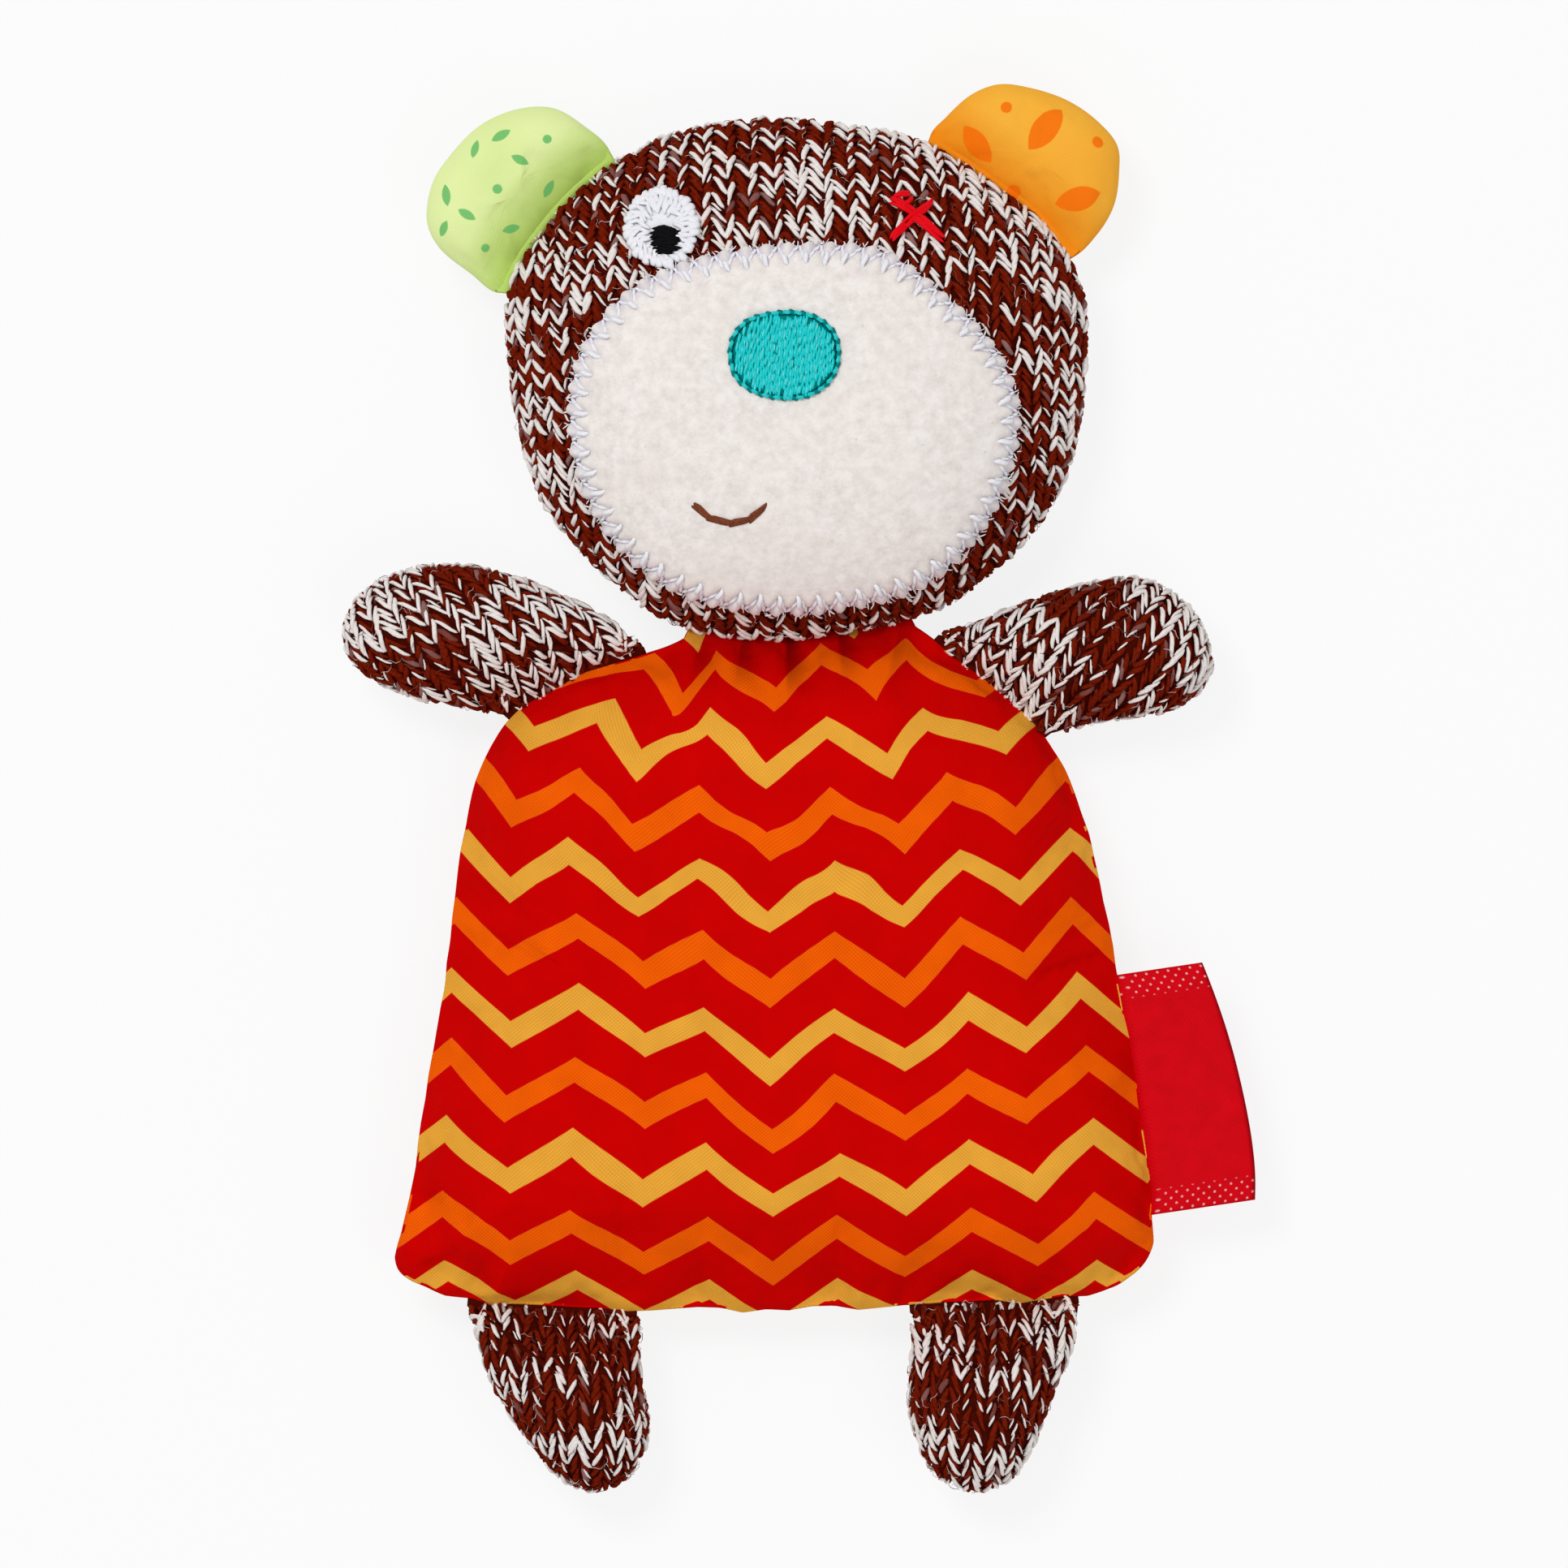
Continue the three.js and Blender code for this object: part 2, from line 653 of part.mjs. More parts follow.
const muzzleWidth = HEAD_WIDTH - 2 * CHEEK_MARGIN;
const muzzleLength = HEAD_LENGTH - CHIN_MARGIN - BROW_MARGIN;
const muzzleMiddle = new THREE.Vector2(
  headMiddle.x + MUZZLE_SHIFT,
  headMiddle.y + (CHIN_MARGIN - BROW_MARGIN) / 2,
);
const onMuzzle = sharesOf(muzzleMiddle, muzzleWidth, muzzleLength);
const muzzleOutline = smoothOutline(MUZZLE_SHAPE, onMuzzle);
const muzzlePatch = patchGeometry(
  spread(closedChain(muzzleOutline), MUZZLE_POINTS),
  [onMuzzle([-0.1, 0]), onMuzzle([0.1, 0])],
  PATCH_RINGS,
  feltLift,
  FELT_THICKNESS,
);

// One thread that runs zigzag between two lines inside the patch's edge
function zigzagGeometry() {
  const chain = closedChain(muzzleOutline);
  const count = 2 * Math.round(chainLength(chain) / ZIGZAG_PITCH);
  const outerLine = spread(closedChain(offsetOutline(muzzleOutline, -ZIGZAG_MARGIN)), count);
  const innerInset = ZIGZAG_MARGIN + ZIGZAG_DEPTH;
  const innerLine = spread(closedChain(offsetOutline(muzzleOutline, -innerInset)), count);
  const corners = outerLine.map((outer, i) => (i % 2 ? innerLine[i] : outer));
  const half = THREAD_WIDTH / 2;
  const sections = bandSections(
    offsetOutline(corners, half),
    offsetOutline(corners, -half),
    onFeltLift,
    THREAD_THICKNESS,
  );
  return ring(sections);
}

const noseMiddle = onMuzzle(NOSE_PLACE);
const noseOutline = ellipse(noseMiddle, NOSE_WIDTH, NOSE_LENGTH, ROUND_POINTS);
const nosePatch = patchGeometry(
  noseOutline,
  [noseMiddle, noseMiddle.clone().setX(noseMiddle.x + CLEARANCE)],
  SMALL_RINGS,
  onFeltLift,
  EMBROIDERY_THICKNESS,
);
const noseBorder = ring(bandSections(
  offsetOutline(noseOutline, CLEARANCE + BORDER_WIDTH),
  offsetOutline(noseOutline, CLEARANCE),
  onFeltLift,
  THREAD_THICKNESS,
));

// The smile is a shallow arc of thread
function mouthGeometry() {
  const STEPS = 8;
  const middle = onMuzzle(MOUTH_PLACE);
  const arc = Array.from({ length: STEPS + 1 }, (_, i) => {
    const across = (2 * i) / STEPS - 1;
    const drop = MOUTH_DROP * (across ** 2 - 1);
    return new THREE.Vector2(middle.x + (across * MOUTH_WIDTH) / 2, middle.y + drop);
  });
  const half = THREAD_WIDTH / 2;
  const lineAt = (side) => arc.map((point, i) => {
    const from = arc[Math.max(i - 1, 0)];
    const to = arc[Math.min(i + 1, STEPS)];
    return point.clone().addScaledVector(outwardNormal(from, to), side * half);
  });
  const square = [[0, 0], [0, 1], [1, 1], [1, 0]].map(([x, y]) => new THREE.Vector2(x, y));
  return loft(bandSections(lineAt(1), lineAt(-1), onFeltLift, THREAD_THICKNESS), () => square);
}

// A point on the line from the muzzle's middle through a place, with a gap to its edge
function outsideMuzzle(place, gap) {
  return hitThrough(muzzleMiddle, onMuzzle(place), offsetOutline(muzzleOutline, gap));
}

const eyeMiddle = outsideMuzzle(EYE_PLACE, EYE_DIAMETER / 2 + EYE_GAP);
const pupilMiddle = eyeMiddle.clone().setY(eyeMiddle.y - PUPIL_DROP);
const pupilOutline = ellipse(pupilMiddle, PUPIL_DIAMETER, PUPIL_DIAMETER, ROUND_POINTS);
const eyeRing = ring(bandSections(
  ellipse(eyeMiddle, EYE_DIAMETER, EYE_DIAMETER, ROUND_POINTS),
  offsetOutline(pupilOutline, CLEARANCE),
  CLEARANCE,
  EMBROIDERY_THICKNESS,
));
const eyePupil = patchGeometry(
  pupilOutline,
  [pupilMiddle, pupilMiddle.clone().setX(pupilMiddle.x + CLEARANCE)],
  SMALL_RINGS,
  CLEARANCE,
  EMBROIDERY_THICKNESS,
);

// Two crossed bars of thread, as one outline that goes round all four ends
function crossGeometry() {
  const middle = outsideMuzzle(CROSS_PLACE, CROSS_GAP + CROSS_LENGTH / 2);
  const slope = THREE.MathUtils.radToDeg(Math.atan2(CROSS_LENGTH, CROSS_WIDTH));
  const headings = [slope, 180 - slope, 180 + slope, 360 - slope];
  const reach = Math.hypot(CROSS_WIDTH, CROSS_LENGTH) / 2;
  const half = CROSS_THREAD_WIDTH / 2;
  const outline = headings.flatMap((heading, i) => {
    const next = headings[(i + 1) % headings.length] + (i === headings.length - 1 ? 360 : 0);
    const opening = THREE.MathUtils.degToRad((next - heading) / 2);
    const end = middle.clone().addScaledVector(direction(heading), reach);
    const across = direction(heading + 90);
    const notch = middle.clone();
    notch.addScaledVector(direction((heading + next) / 2), half / Math.sin(opening));
    return [
      end.clone().addScaledVector(across, -half),
      end.clone().addScaledVector(across, half),
      notch,
    ];
  });
  const loopAt = (lift) => outline.map((point) => onFace(point, lift));
  return loft([loopAt(CLEARANCE + THREAD_THICKNESS), loopAt(CLEARANCE)]);
}

// Folded ribbon, sewn by both its ends into the side seam

// The fold's section: outwards over the upper ply, round the fold and back, then the inside
function ribbonSection(width) {
  const FOLD_STEPS = 4;
  const outside = LABEL_PLY + LABEL_FOLD_GAP / 2;
  const inside = LABEL_FOLD_GAP / 2;
  const arc = (radius, from, to) => Array.from({ length: FOLD_STEPS + 1 }, (_, i) => {
    const unit = direction(from + ((to - from) * i) / FOLD_STEPS);
    return new THREE.Vector2(width - outside + unit.x * radius, unit.y * radius);
  });
  return [
    new THREE.Vector2(0, outside),
    ...arc(outside, 90, -90),
    new THREE.Vector2(0, -outside),
    new THREE.Vector2(0, -inside),
    ...arc(inside, -90, 90),
    new THREE.Vector2(0, inside),
  ];
}

function sideLabel() {
  const edge = offsetOutline(bodyOutline, LABEL_CLEARANCE);
  const root = hitThrough(bodyMiddle, onBody(ATTACH.label), edge);
  const index = segmentAt(root, edge);
  const upwards = [root, ...edge.slice(index + 1), ...edge.slice(0, index + 1)];
  const downwards = [root, ...edge.slice(0, index + 1).reverse(), ...edge.slice(index + 1).reverse()];
  const top = pointAlong(upwards, LABEL_LENGTH / 2);
  const bottom = pointAlong(downwards, LABEL_LENGTH / 2);
  const outwards = outwardNormal(bottom, top);
  const sections = Array.from({ length: LABEL_SECTIONS + 1 }, (_, i) => {
    const share = i / LABEL_SECTIONS;
    const along = (share - 0.5) * LABEL_LENGTH;
    const seamPoint = pointAlong(along > 0 ? upwards : downwards, Math.abs(along));
    const straight = THREE.MathUtils.lerp(LABEL_BOTTOM_WIDTH, LABEL_TOP_WIDTH, share);
    const width = straight + LABEL_BULGE * 4 * share * (1 - share);
    return ribbonSection(width).map((corner) => {
      const point = seamPoint.clone().addScaledVector(outwards, corner.x);
      return new THREE.Vector3(point.x, point.y, SEAM_HEIGHT + corner.y);
    });
  });
  const contour = ribbonSection(LABEL_TOP_WIDTH);
  const axis = bottom.clone().sub(top).normalize();
  const hinge = { point: [root.x, root.y, SEAM_HEIGHT], axis: [axis.x, axis.y, 0] };
  return { geometry: loft(sections, () => contour), hinge };
}

// The bear
const label = sideLabel();
const bear = new THREE.Group();
const head = stuffedPiece('head', headPillow, KNIT, 'head_filling');
head.add(mesh('muzzle_patch', muzzlePatch, FELT));
head.add(mesh('muzzle_zigzag_stitch', zigzagGeometry(), WHITE_THREAD));
head.add(mesh('nose_patch', nosePatch, TEAL_THREAD));
head.add(mesh('nose_border_stitch', noseBorder, TEAL_THREAD));
head.add(mesh('mouth_stitch', mouthGeometry(), BROWN_THREAD));
head.add(mesh('eye_ring', eyeRing, WHITE_THREAD));
head.add(mesh('eye_pupil', eyePupil, BLACK_THREAD));
head.add(mesh('cross_eye_stitch', crossGeometry(), RED_THREAD));
bear.add(head);
bear.add(stuffedPiece('body', bodyPillow, PRINT, 'body_filling'));
bear.add(stuffedPiece('green_ear', greenEar, GREEN_CLOTH, 'green_ear_wadding'));
bear.add(stuffedPiece('orange_ear', orangeEar, ORANGE_CLOTH, 'orange_ear_wadding'));
bear.add(stuffedPiece('left_arm', leftArm, KNIT, 'left_arm_filling'));
bear.add(stuffedPiece('right_arm', rightArm, KNIT, 'right_arm_filling'));
bear.add(stuffedPiece('left_leg', leftLeg, KNIT, 'left_leg_filling'));
bear.add(stuffedPiece('right_leg', rightLeg, KNIT, 'right_leg_filling'));
bear.add(mesh('side_label', label.geometry, LABEL_RIBBON));

// Where each sewn-in piece turns on its seam
const neck = hingeAt(headOutline, hitThrough(headMiddle, onHead(ATTACH.neck), headOutline));
bear.userData.hinges = {
  neck_nod: { point: neck.point, axis: neck.axis.map((share) => -share) },
  green_ear_fold: greenEar.hinge,
  orange_ear_fold: orangeEar.hinge,
  left_arm_swing: leftArm.hinge,
  right_arm_swing: rightArm.hinge,
  left_leg_swing: leftLeg.hinge,
  right_leg_swing: rightLeg.hinge,
  label_fold: label.hinge,
};

export default bear;
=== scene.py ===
# %% [markdown]
# # A flat stuffed bear in knit, printed cloth, felt and embroidery
# The bear lies on its back, face up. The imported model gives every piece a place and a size, in
# metres, and this script dresses it: each plain solid gives way to a piece made of real cloth,
# stitches and threads. The bear's lengths below are in millimetres and are turned into metres
# when a mesh is made. Those of the lamps and the floor are in metres.

# %% Load the frame
import math
import bmesh
import bpy
import mathutils
import numpy as np
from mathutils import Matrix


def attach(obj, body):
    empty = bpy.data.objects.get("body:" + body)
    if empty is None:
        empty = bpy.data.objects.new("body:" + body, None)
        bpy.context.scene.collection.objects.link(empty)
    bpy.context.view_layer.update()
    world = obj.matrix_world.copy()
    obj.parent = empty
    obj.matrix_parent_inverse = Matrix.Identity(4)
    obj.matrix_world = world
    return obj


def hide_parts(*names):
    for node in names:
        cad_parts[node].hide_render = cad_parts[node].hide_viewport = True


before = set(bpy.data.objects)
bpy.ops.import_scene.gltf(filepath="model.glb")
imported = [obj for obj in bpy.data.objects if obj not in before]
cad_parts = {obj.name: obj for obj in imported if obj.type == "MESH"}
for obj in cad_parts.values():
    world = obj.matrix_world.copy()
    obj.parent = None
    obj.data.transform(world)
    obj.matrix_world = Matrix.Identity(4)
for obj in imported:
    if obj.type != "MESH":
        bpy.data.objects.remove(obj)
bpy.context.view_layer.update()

MM = 0.001

# %% [markdown]
# ## Camera, light and floor
# A bear photographed flat from above shows no perspective, so the camera stands far away with a
# long lens. Soft light from a wide sky, two large lamps and a pale floor keep every colour close
# to the value it is given. The floor looks white to the camera and still takes the bear's shadow.

# %% Camera
PIXEL = 0.0926
PHOTO_SIZE = 1932
BODY_PIXEL = (957, 1199)
CAMERA_DISTANCE = 2000
SENSOR = 36


def at_pixel(x, y):
    """A place on the photograph, in millimetres from the body's middle."""
    return np.array([(x - BODY_PIXEL[0]) * PIXEL, (BODY_PIXEL[1] - y) * PIXEL])


view_middle = at_pixel(PHOTO_SIZE / 2, PHOTO_SIZE / 2)
camera = bpy.data.objects.new("camera", bpy.data.cameras.new("camera"))
bpy.context.scene.collection.objects.link(camera)
camera.location = (*(view_middle * MM), CAMERA_DISTANCE * MM)
camera.data.sensor_width = SENSOR
camera.data.lens = SENSOR * CAMERA_DISTANCE / (PHOTO_SIZE * PIXEL)
camera.data.clip_start = 0.01
camera.data.clip_end = 20
bpy.context.scene.camera = camera
print("lens in millimetres:", round(camera.data.lens))

# %% Lamps and sky
SKY_STRENGTH = 0.47
LAMPS = {
    "key_lamp": ((-0.4, 0.5, 1.0), 0.4, 5.6),
    "fill_lamp": ((0.45, -0.55, 0.9), 0.7, 2.5),
}


def add_lamp(name, place, size, power):
    lamp = bpy.data.objects.new(name, bpy.data.lights.new(name, "AREA"))
    lamp.data.size = size
    lamp.data.energy = power
    lamp.location = place
    to_bear = -lamp.location
    lamp.rotation_euler = to_bear.to_track_quat("-Z", "Y").to_euler()
    bpy.context.scene.collection.objects.link(lamp)


for name, (place, size, power) in LAMPS.items():
    add_lamp(name, place, size, power)
world = bpy.data.worlds.new("studio")
world.use_nodes = True
bpy.context.scene.world = world
bpy.context.scene.view_settings.view_transform = "Standard"

# %% [markdown]
# ## Small helpers for node trees
# Materials and Geometry Nodes are both graphs of nodes. Two helpers keep them short: one adds a
# node and fills its inputs, each with a value or with another node's output, and one does a sum.


# %% Node helpers
def add(tree, kind, values=None, **settings):
    """Adds a node. A value in values is a constant or an output socket to link."""
    node = tree.nodes.new(kind)
    for name, setting in settings.items():
        setattr(node, name, setting)
    for name, value in (values or {}).items():
        socket = node.inputs[name]
        if isinstance(value, bpy.types.NodeSocket):
            tree.links.new(value, socket)
        else:
            socket.default_value = value
    return node


def math_out(tree, operation, first, second=0.0, third=0.0):
    node = add(tree, "ShaderNodeMath", {0: first, 1: second, 2: third}, operation=operation)
    return node.outputs[0]


def linear(red, green, blue):
    """A colour from its 0 to 255 screen values."""
    shares = np.array([red, green, blue]) / 255
    light = np.where(shares > 0.04045, ((shares + 0.055) / 1.055) ** 2.4, shares / 12.92)
    return (*light, 1.0)


def seen_directly(tree):
    """1 where a ray comes from the camera, a mirror or glass, and 0 for light on the scene."""
    path = add(tree, "ShaderNodeLightPath")
    seen = math_out(tree, "MAXIMUM", path.outputs["Is Camera Ray"], path.outputs["Is Glossy Ray"])
    return math_out(tree, "MAXIMUM", seen, path.outputs["Is Transmission Ray"])


# %% Sky and floor
sky = world.node_tree
sky_strength = math_out(sky, "MULTIPLY_ADD", seen_directly(sky), 1 - SKY_STRENGTH, SKY_STRENGTH)
sky.links.new(sky_strength, sky.nodes["Background"].inputs["Strength"])
sky.nodes["Background"].inputs["Color"].default_value = (1, 1, 1, 1)

FLOOR_HALF = 3
FLOOR_WHITE_SHARE = 0.85
floor_mesh = bpy.data.meshes.new("floor")
corners = [(x * FLOOR_HALF, y * FLOOR_HALF, 0) for x, y in [(-1, -1), (1, -1), (1, 1), (-1, 1)]]
floor_mesh.from_pydata(corners, [], [(0, 1, 2, 3)])
floor = bpy.data.objects.new("floor", floor_mesh)
bpy.context.scene.collection.objects.link(floor)
floor_paint = bpy.data.materials.new("white_floor")
floor_paint.use_nodes = True
tree = floor_paint.node_tree
tree.nodes["Principled BSDF"].inputs["Base Color"].default_value = (0.85, 0.85, 0.85, 1)
tree.nodes["Principled BSDF"].inputs["Roughness"].default_value = 0.9
glow = add(tree, "ShaderNodeEmission", {"Color": (1, 1, 1, 1), "Strength": 1.0})
glow_share = math_out(tree, "MULTIPLY", seen_directly(tree), FLOOR_WHITE_SHARE)
paint = tree.nodes["Principled BSDF"].outputs[0]
mixed = add(tree, "ShaderNodeMixShader", {0: glow_share, 1: paint, 2: glow.outputs[0]})
tree.links.new(mixed.outputs[0], tree.nodes["Material Output"].inputs["Surface"])
floor_mesh.materials.append(floor_paint)

# %% [markdown]
# ## The cut of the pieces
# Every stuffed piece is two panels sewn along one outline. The outlines below are the ones that
# the model was made from, as shares of each piece's width and length. A smooth curve runs through
# them, and where two pieces meet the smaller one's outline is cut along the larger one's. A limb
# or ear points along its heading, in degrees, from the seam at a place given in shares of the
# larger piece.

# %% Sizes
SEAM_HEIGHT = 7.5
BACK_CROWN = 8.0
CLEARANCE = 0.3
BODY_WIDTH, BODY_LENGTH = 86.4, 76.3
HEAD_WIDTH, HEAD_LENGTH, HEAD_SHIFT = 65.7, 59.1, 2.3
ARM_WIDTH, ARM_LENGTH = 15, 27
LEG_WIDTH, LEG_LENGTH = 20, 21
EAR_WIDTH, EAR_LENGTH = 24, 17
OUTLINE_STEPS = 480
STEPS_PER_KNOT = 40
CROSSING_HALVINGS = 24

ATTACH = {
    "green_ear": (-0.406, 0.299),
    "orange_ear": (0.364, 0.357),
    "left_arm": (-0.258, 0.448),
    "right_arm": (0.284, 0.426),
    "left_leg": (-0.29, -0.495),
    "right_leg": (0.286, -0.488),
    "label": (0.477, -0.177),
}
HEADING = {
    "green_ear": 146.4,
    "orange_ear": 41.5,
    "left_arm": 169.3,
    "right_arm": 12.5,
    "left_leg": -77.8,
    "right_leg": -95.9,
}

# %% Outlines
BODY_SHAPE = [
    (-0.495, -0.445), (-0.46, -0.47), (-0.34, -0.495), (-0.17, -0.5), (0, -0.5), (0.175, -0.495),
    (0.4, -0.48), (0.46, -0.46), (0.49, -0.415), (0.495, -0.34), (0.475, -0.165), (0.445, 0.02),
    (0.41, 0.21), (0.375, 0.315), (0.315, 0.4), (0.235, 0.47), (0.165, 0.53), (0.09, 0.54),
    (0, 0.545), (-0.085, 0.525), (-0.14, 0.49), (-0.225, 0.46), (-0.295, 0.425), (-0.355, 0.375),
    (-0.395, 0.29), (-0.415, 0.185), (-0.435, 0), (-0.46, -0.165), (-0.48, -0.315), (-0.5, -0.415),
]
HEAD_SHAPE = [
    (-0.215, 0.47), (-0.35, 0.39), (-0.445, 0.28), (-0.495, 0.185), (-0.5, 0.045), (-0.48, -0.115),
    (-0.435, -0.245), (-0.335, -0.375), (-0.215, -0.47), (-0.075, -0.5), (0.11, -0.485),
    (0.26, -0.435), (0.38, -0.33), (0.455, -0.215), (0.49, -0.08), (0.5, 0.045), (0.49, 0.185),
    (0.425, 0.3), (0.34, 0.375), (0.23, 0.45), (0.095, 0.485), (-0.05, 0.5),
]
MUZZLE_SHAPE = [
    (-0.18, 0.47), (-0.36, 0.38), (-0.47, 0.22), (-0.5, 0.04), (-0.47, -0.16), (-0.37, -0.35),
    (-0.23, -0.46), (-0.07, -0.5), (0.11, -0.49), (0.3, -0.42), (0.43, -0.26), (0.49, -0.09),
    (0.5, 0.07), (0.45, 0.22), (0.33, 0.37), (0.2, 0.48), (0.04, 0.5),
]
LIMB_SHAPES = {
    "green_ear": [
        (0.25, -0.26), (0.41, -0.07), (0.44, 0.17), (0.43, 0.39), (0.34, 0.58), (0.17, 0.74),
        (-0.06, 0.8), (-0.19, 0.79), (-0.35, 0.68), (-0.42, 0.52), (-0.44, 0.25), (-0.44, 0.01),
        (-0.18, -0.14),
    ],
    "orange_ear": [
        (0.28, -0.13), (0.43, 0.03), (0.43, 0.27), (0.38, 0.48), (0.28, 0.65), (0.18, 0.76),
        (0.03, 0.77), (-0.14, 0.71), (-0.3, 0.58), (-0.41, 0.44), (-0.46, 0.26), (-0.46, 0.03),
        (-0.44, -0.14), (-0.22, -0.31),
    ],
    "left_arm": [
        (0.02, -0.26), (0.26, -0.26), (0.45, -0.07), (0.58, 0.19), (0.65, 0.4), (0.64, 0.6),
        (0.53, 0.81), (0.3, 0.97), (0, 1.02), (-0.26, 0.94), (-0.4, 0.69), (-0.42, 0.4),
        (-0.44, 0.26), (-0.39, 0.05),
    ],
    "right_arm": [
        (0.02, -0.15), (0.37, 0.02), (0.47, 0.19), (0.44, 0.33), (0.46, 0.57), (0.46, 0.74),
        (0.26, 0.9), (-0.03, 0.92), (-0.34, 0.85), (-0.56, 0.7), (-0.61, 0.51), (-0.58, 0.25),
        (-0.51, -0.01), (-0.43, -0.24),
    ],
    "left_leg": [
        (0.17, -0.2), (0.47, -0.17), (0.47, 0.03), (0.44, 0.33), (0.31, 0.67), (0.18, 0.9),
        (0, 1.02), (-0.2, 0.98), (-0.33, 0.85), (-0.39, 0.68), (-0.4, 0.41), (-0.46, 0.06),
        (-0.24, -0.12),
    ],
    "right_leg": [
        (0.26, -0.11), (0.48, 0.02), (0.44, 0.28), (0.44, 0.53), (0.36, 0.79), (0.23, 0.96),
        (0.01, 1.03), (-0.18, 0.95), (-0.29, 0.77), (-0.38, 0.47), (-0.47, 0.17), (-0.47, -0.1),
        (-0.2, -0.16),
    ],
}


# %% Curves in the plane
def heading(degrees):
    angle = math.radians(degrees)
    return np.array([math.cos(angle), math.sin(angle)])


def unit(vectors):
    """Each of many vectors, made one long."""
    return vectors / np.linalg.norm(vectors, axis=1)[:, None]


def closed(outline):
    return np.vstack([outline, outline[:1]])


def lengths_along(chain):
    steps = np.linalg.norm(np.diff(chain, axis=0), axis=1)
    return np.concatenate([[0], np.cumsum(steps)])


def spread(chain, count):
    """Evenly spaced points from a chain's start, without its end."""
    along = lengths_along(chain)
    wanted = np.arange(count) * along[-1] / count
    return np.stack([np.interp(wanted, along, chain[:, k]) for k in range(chain.shape[1])], 1)


def smooth_outline(knots, count=OUTLINE_STEPS):
    """An even closed curve through the knots, a centripetal Catmull-Rom spline."""
    before, after, beyond = (np.roll(knots, shift, axis=0) for shift in (1, -1, -2))
    gap_in = np.sqrt(np.linalg.norm(knots - before, axis=1))[:, None]
    gap = np.sqrt(np.linalg.norm(after - knots, axis=1))[:, None]
    gap_out = np.sqrt(np.linalg.norm(beyond - after, axis=1))[:, None]
    leave = (knots - before) / gap_in - (after - before) / (gap_in + gap) + (after - knots) / gap
    arrive = (after - knots) / gap - (beyond - knots) / (gap + gap_out) + (beyond - after) / gap_out
    leave, arrive = leave * gap, arrive * gap
    share = np.linspace(0, 1, STEPS_PER_KNOT, endpoint=False)[:, None, None]
    curve = knots + leave * share
    curve = curve + (3 * (after - knots) - 2 * leave - arrive) * share ** 2
    curve = curve + (2 * (knots - after) + leave + arrive) * share ** 3
    return spread(closed(curve.transpose(1, 0, 2).reshape(-1, 2)), count)


def offset_outline(outline, distance):
    """Moves a closed anticlockwise outline outwards, or inwards by a negative distance."""
    def normals(edges):
        return np.stack([edges[:, 1], -edges[:, 0]], 1) / np.linalg.norm(edges, axis=1)[:, None]
    side = normals(np.roll(outline, -1, axis=0) - outline)
    middle = unit(side + np.roll(side, 1, axis=0))
    return outline + middle * distance / np.maximum((middle * side).sum(1), 0.5)[:, None]


def nearest_on(chain, points):
    """For each point, the nearest place on a chain of straight segments and how far it is."""
    least, nearest = np.full(len(points), np.inf), points.copy()
    for start, end in zip(chain[:-1], chain[1:]):
        span = end - start
        share = np.clip(((points - start) @ span) / max(span @ span, 1e-12), 0, 1)
        here = start + share[:, None] * span
        gap = np.linalg.norm(points - here, axis=1)
        closer = gap < least
        nearest[closer], least[closer] = here[closer], gap[closer]
    return nearest, least


def distance_to(chain, points):
    return nearest_on(chain, points)[1]


def is_inside(outline, points):
    inside = np.zeros(len(points), bool)
    for (ax, ay), (bx, by) in zip(outline, np.roll(outline, 1, axis=0)):
        if ay == by:
            continue
        crosses = (ay > points[:, 1]) != (by > points[:, 1])
        edge_x = ax + (points[:, 1] - ay) / (by - ay) * (bx - ax)
        inside ^= crosses & (points[:, 0] < edge_x)
    return inside


# %% Cuts where two pieces meet
def crossing(outline, inner, outer):
    """Where the line from a point inside an outline to one outside it crosses it."""
    for _ in range(CROSSING_HALVINGS):
        middle = (inner + outer) / 2
        if is_inside(outline, middle[None])[0]:
            inner = middle
        else:
            outer = middle
    return outer


def hit_through(middle, place, outline):
    reach = 2 * np.linalg.norm(outline - middle, axis=1).max()
    towards = (place - middle) / np.linalg.norm(place - middle)
    return crossing(outline, middle, middle + towards * reach)


def segment_at(outline, point):
    ends = closed(outline)
    gaps = [distance_to(ends[i:i + 2], point[None])[0] for i in range(len(outline))]
    return int(np.argmin(gaps))


def cut_outline(outline, larger):
    """The free part of an outline outside a larger one, and the root part that closes it."""
    outside = ~is_inside(larger, outline)
    count = len(outline)
    start = next(i for i in range(count) if outside[i] and not outside[i - 1])
    run = [start]
    while outside[(run[-1] + 1) % count]:
        run.append((run[-1] + 1) % count)
    first = crossing(larger, outline[start - 1], outline[start])
    last = crossing(larger, outline[(run[-1] + 1) % count], outline[run[-1]])
    root, index, end = [last], segment_at(larger, last), segment_at(larger, first)
    while index != end:
        root.append(larger[index])
        index = (index - 1) % len(larger)
    return np.vstack([first, outline[run], last]), np.vstack([*root, first])


# %% [markdown]
# ## How the stuffing swells
# A stuffed panel rises steeply at its seam and levels off inwards, so its height depends on how
# far a point lies from the seam. The back panels are pressed flat where the bear lies on them.

# %% Swelling
ROOT_FULLNESS = 1


def swell(distance, reach, fullness):
    share = np.clip(distance / reach, 0, 1)
    return (1 - (1 - share) ** 2) ** fullness


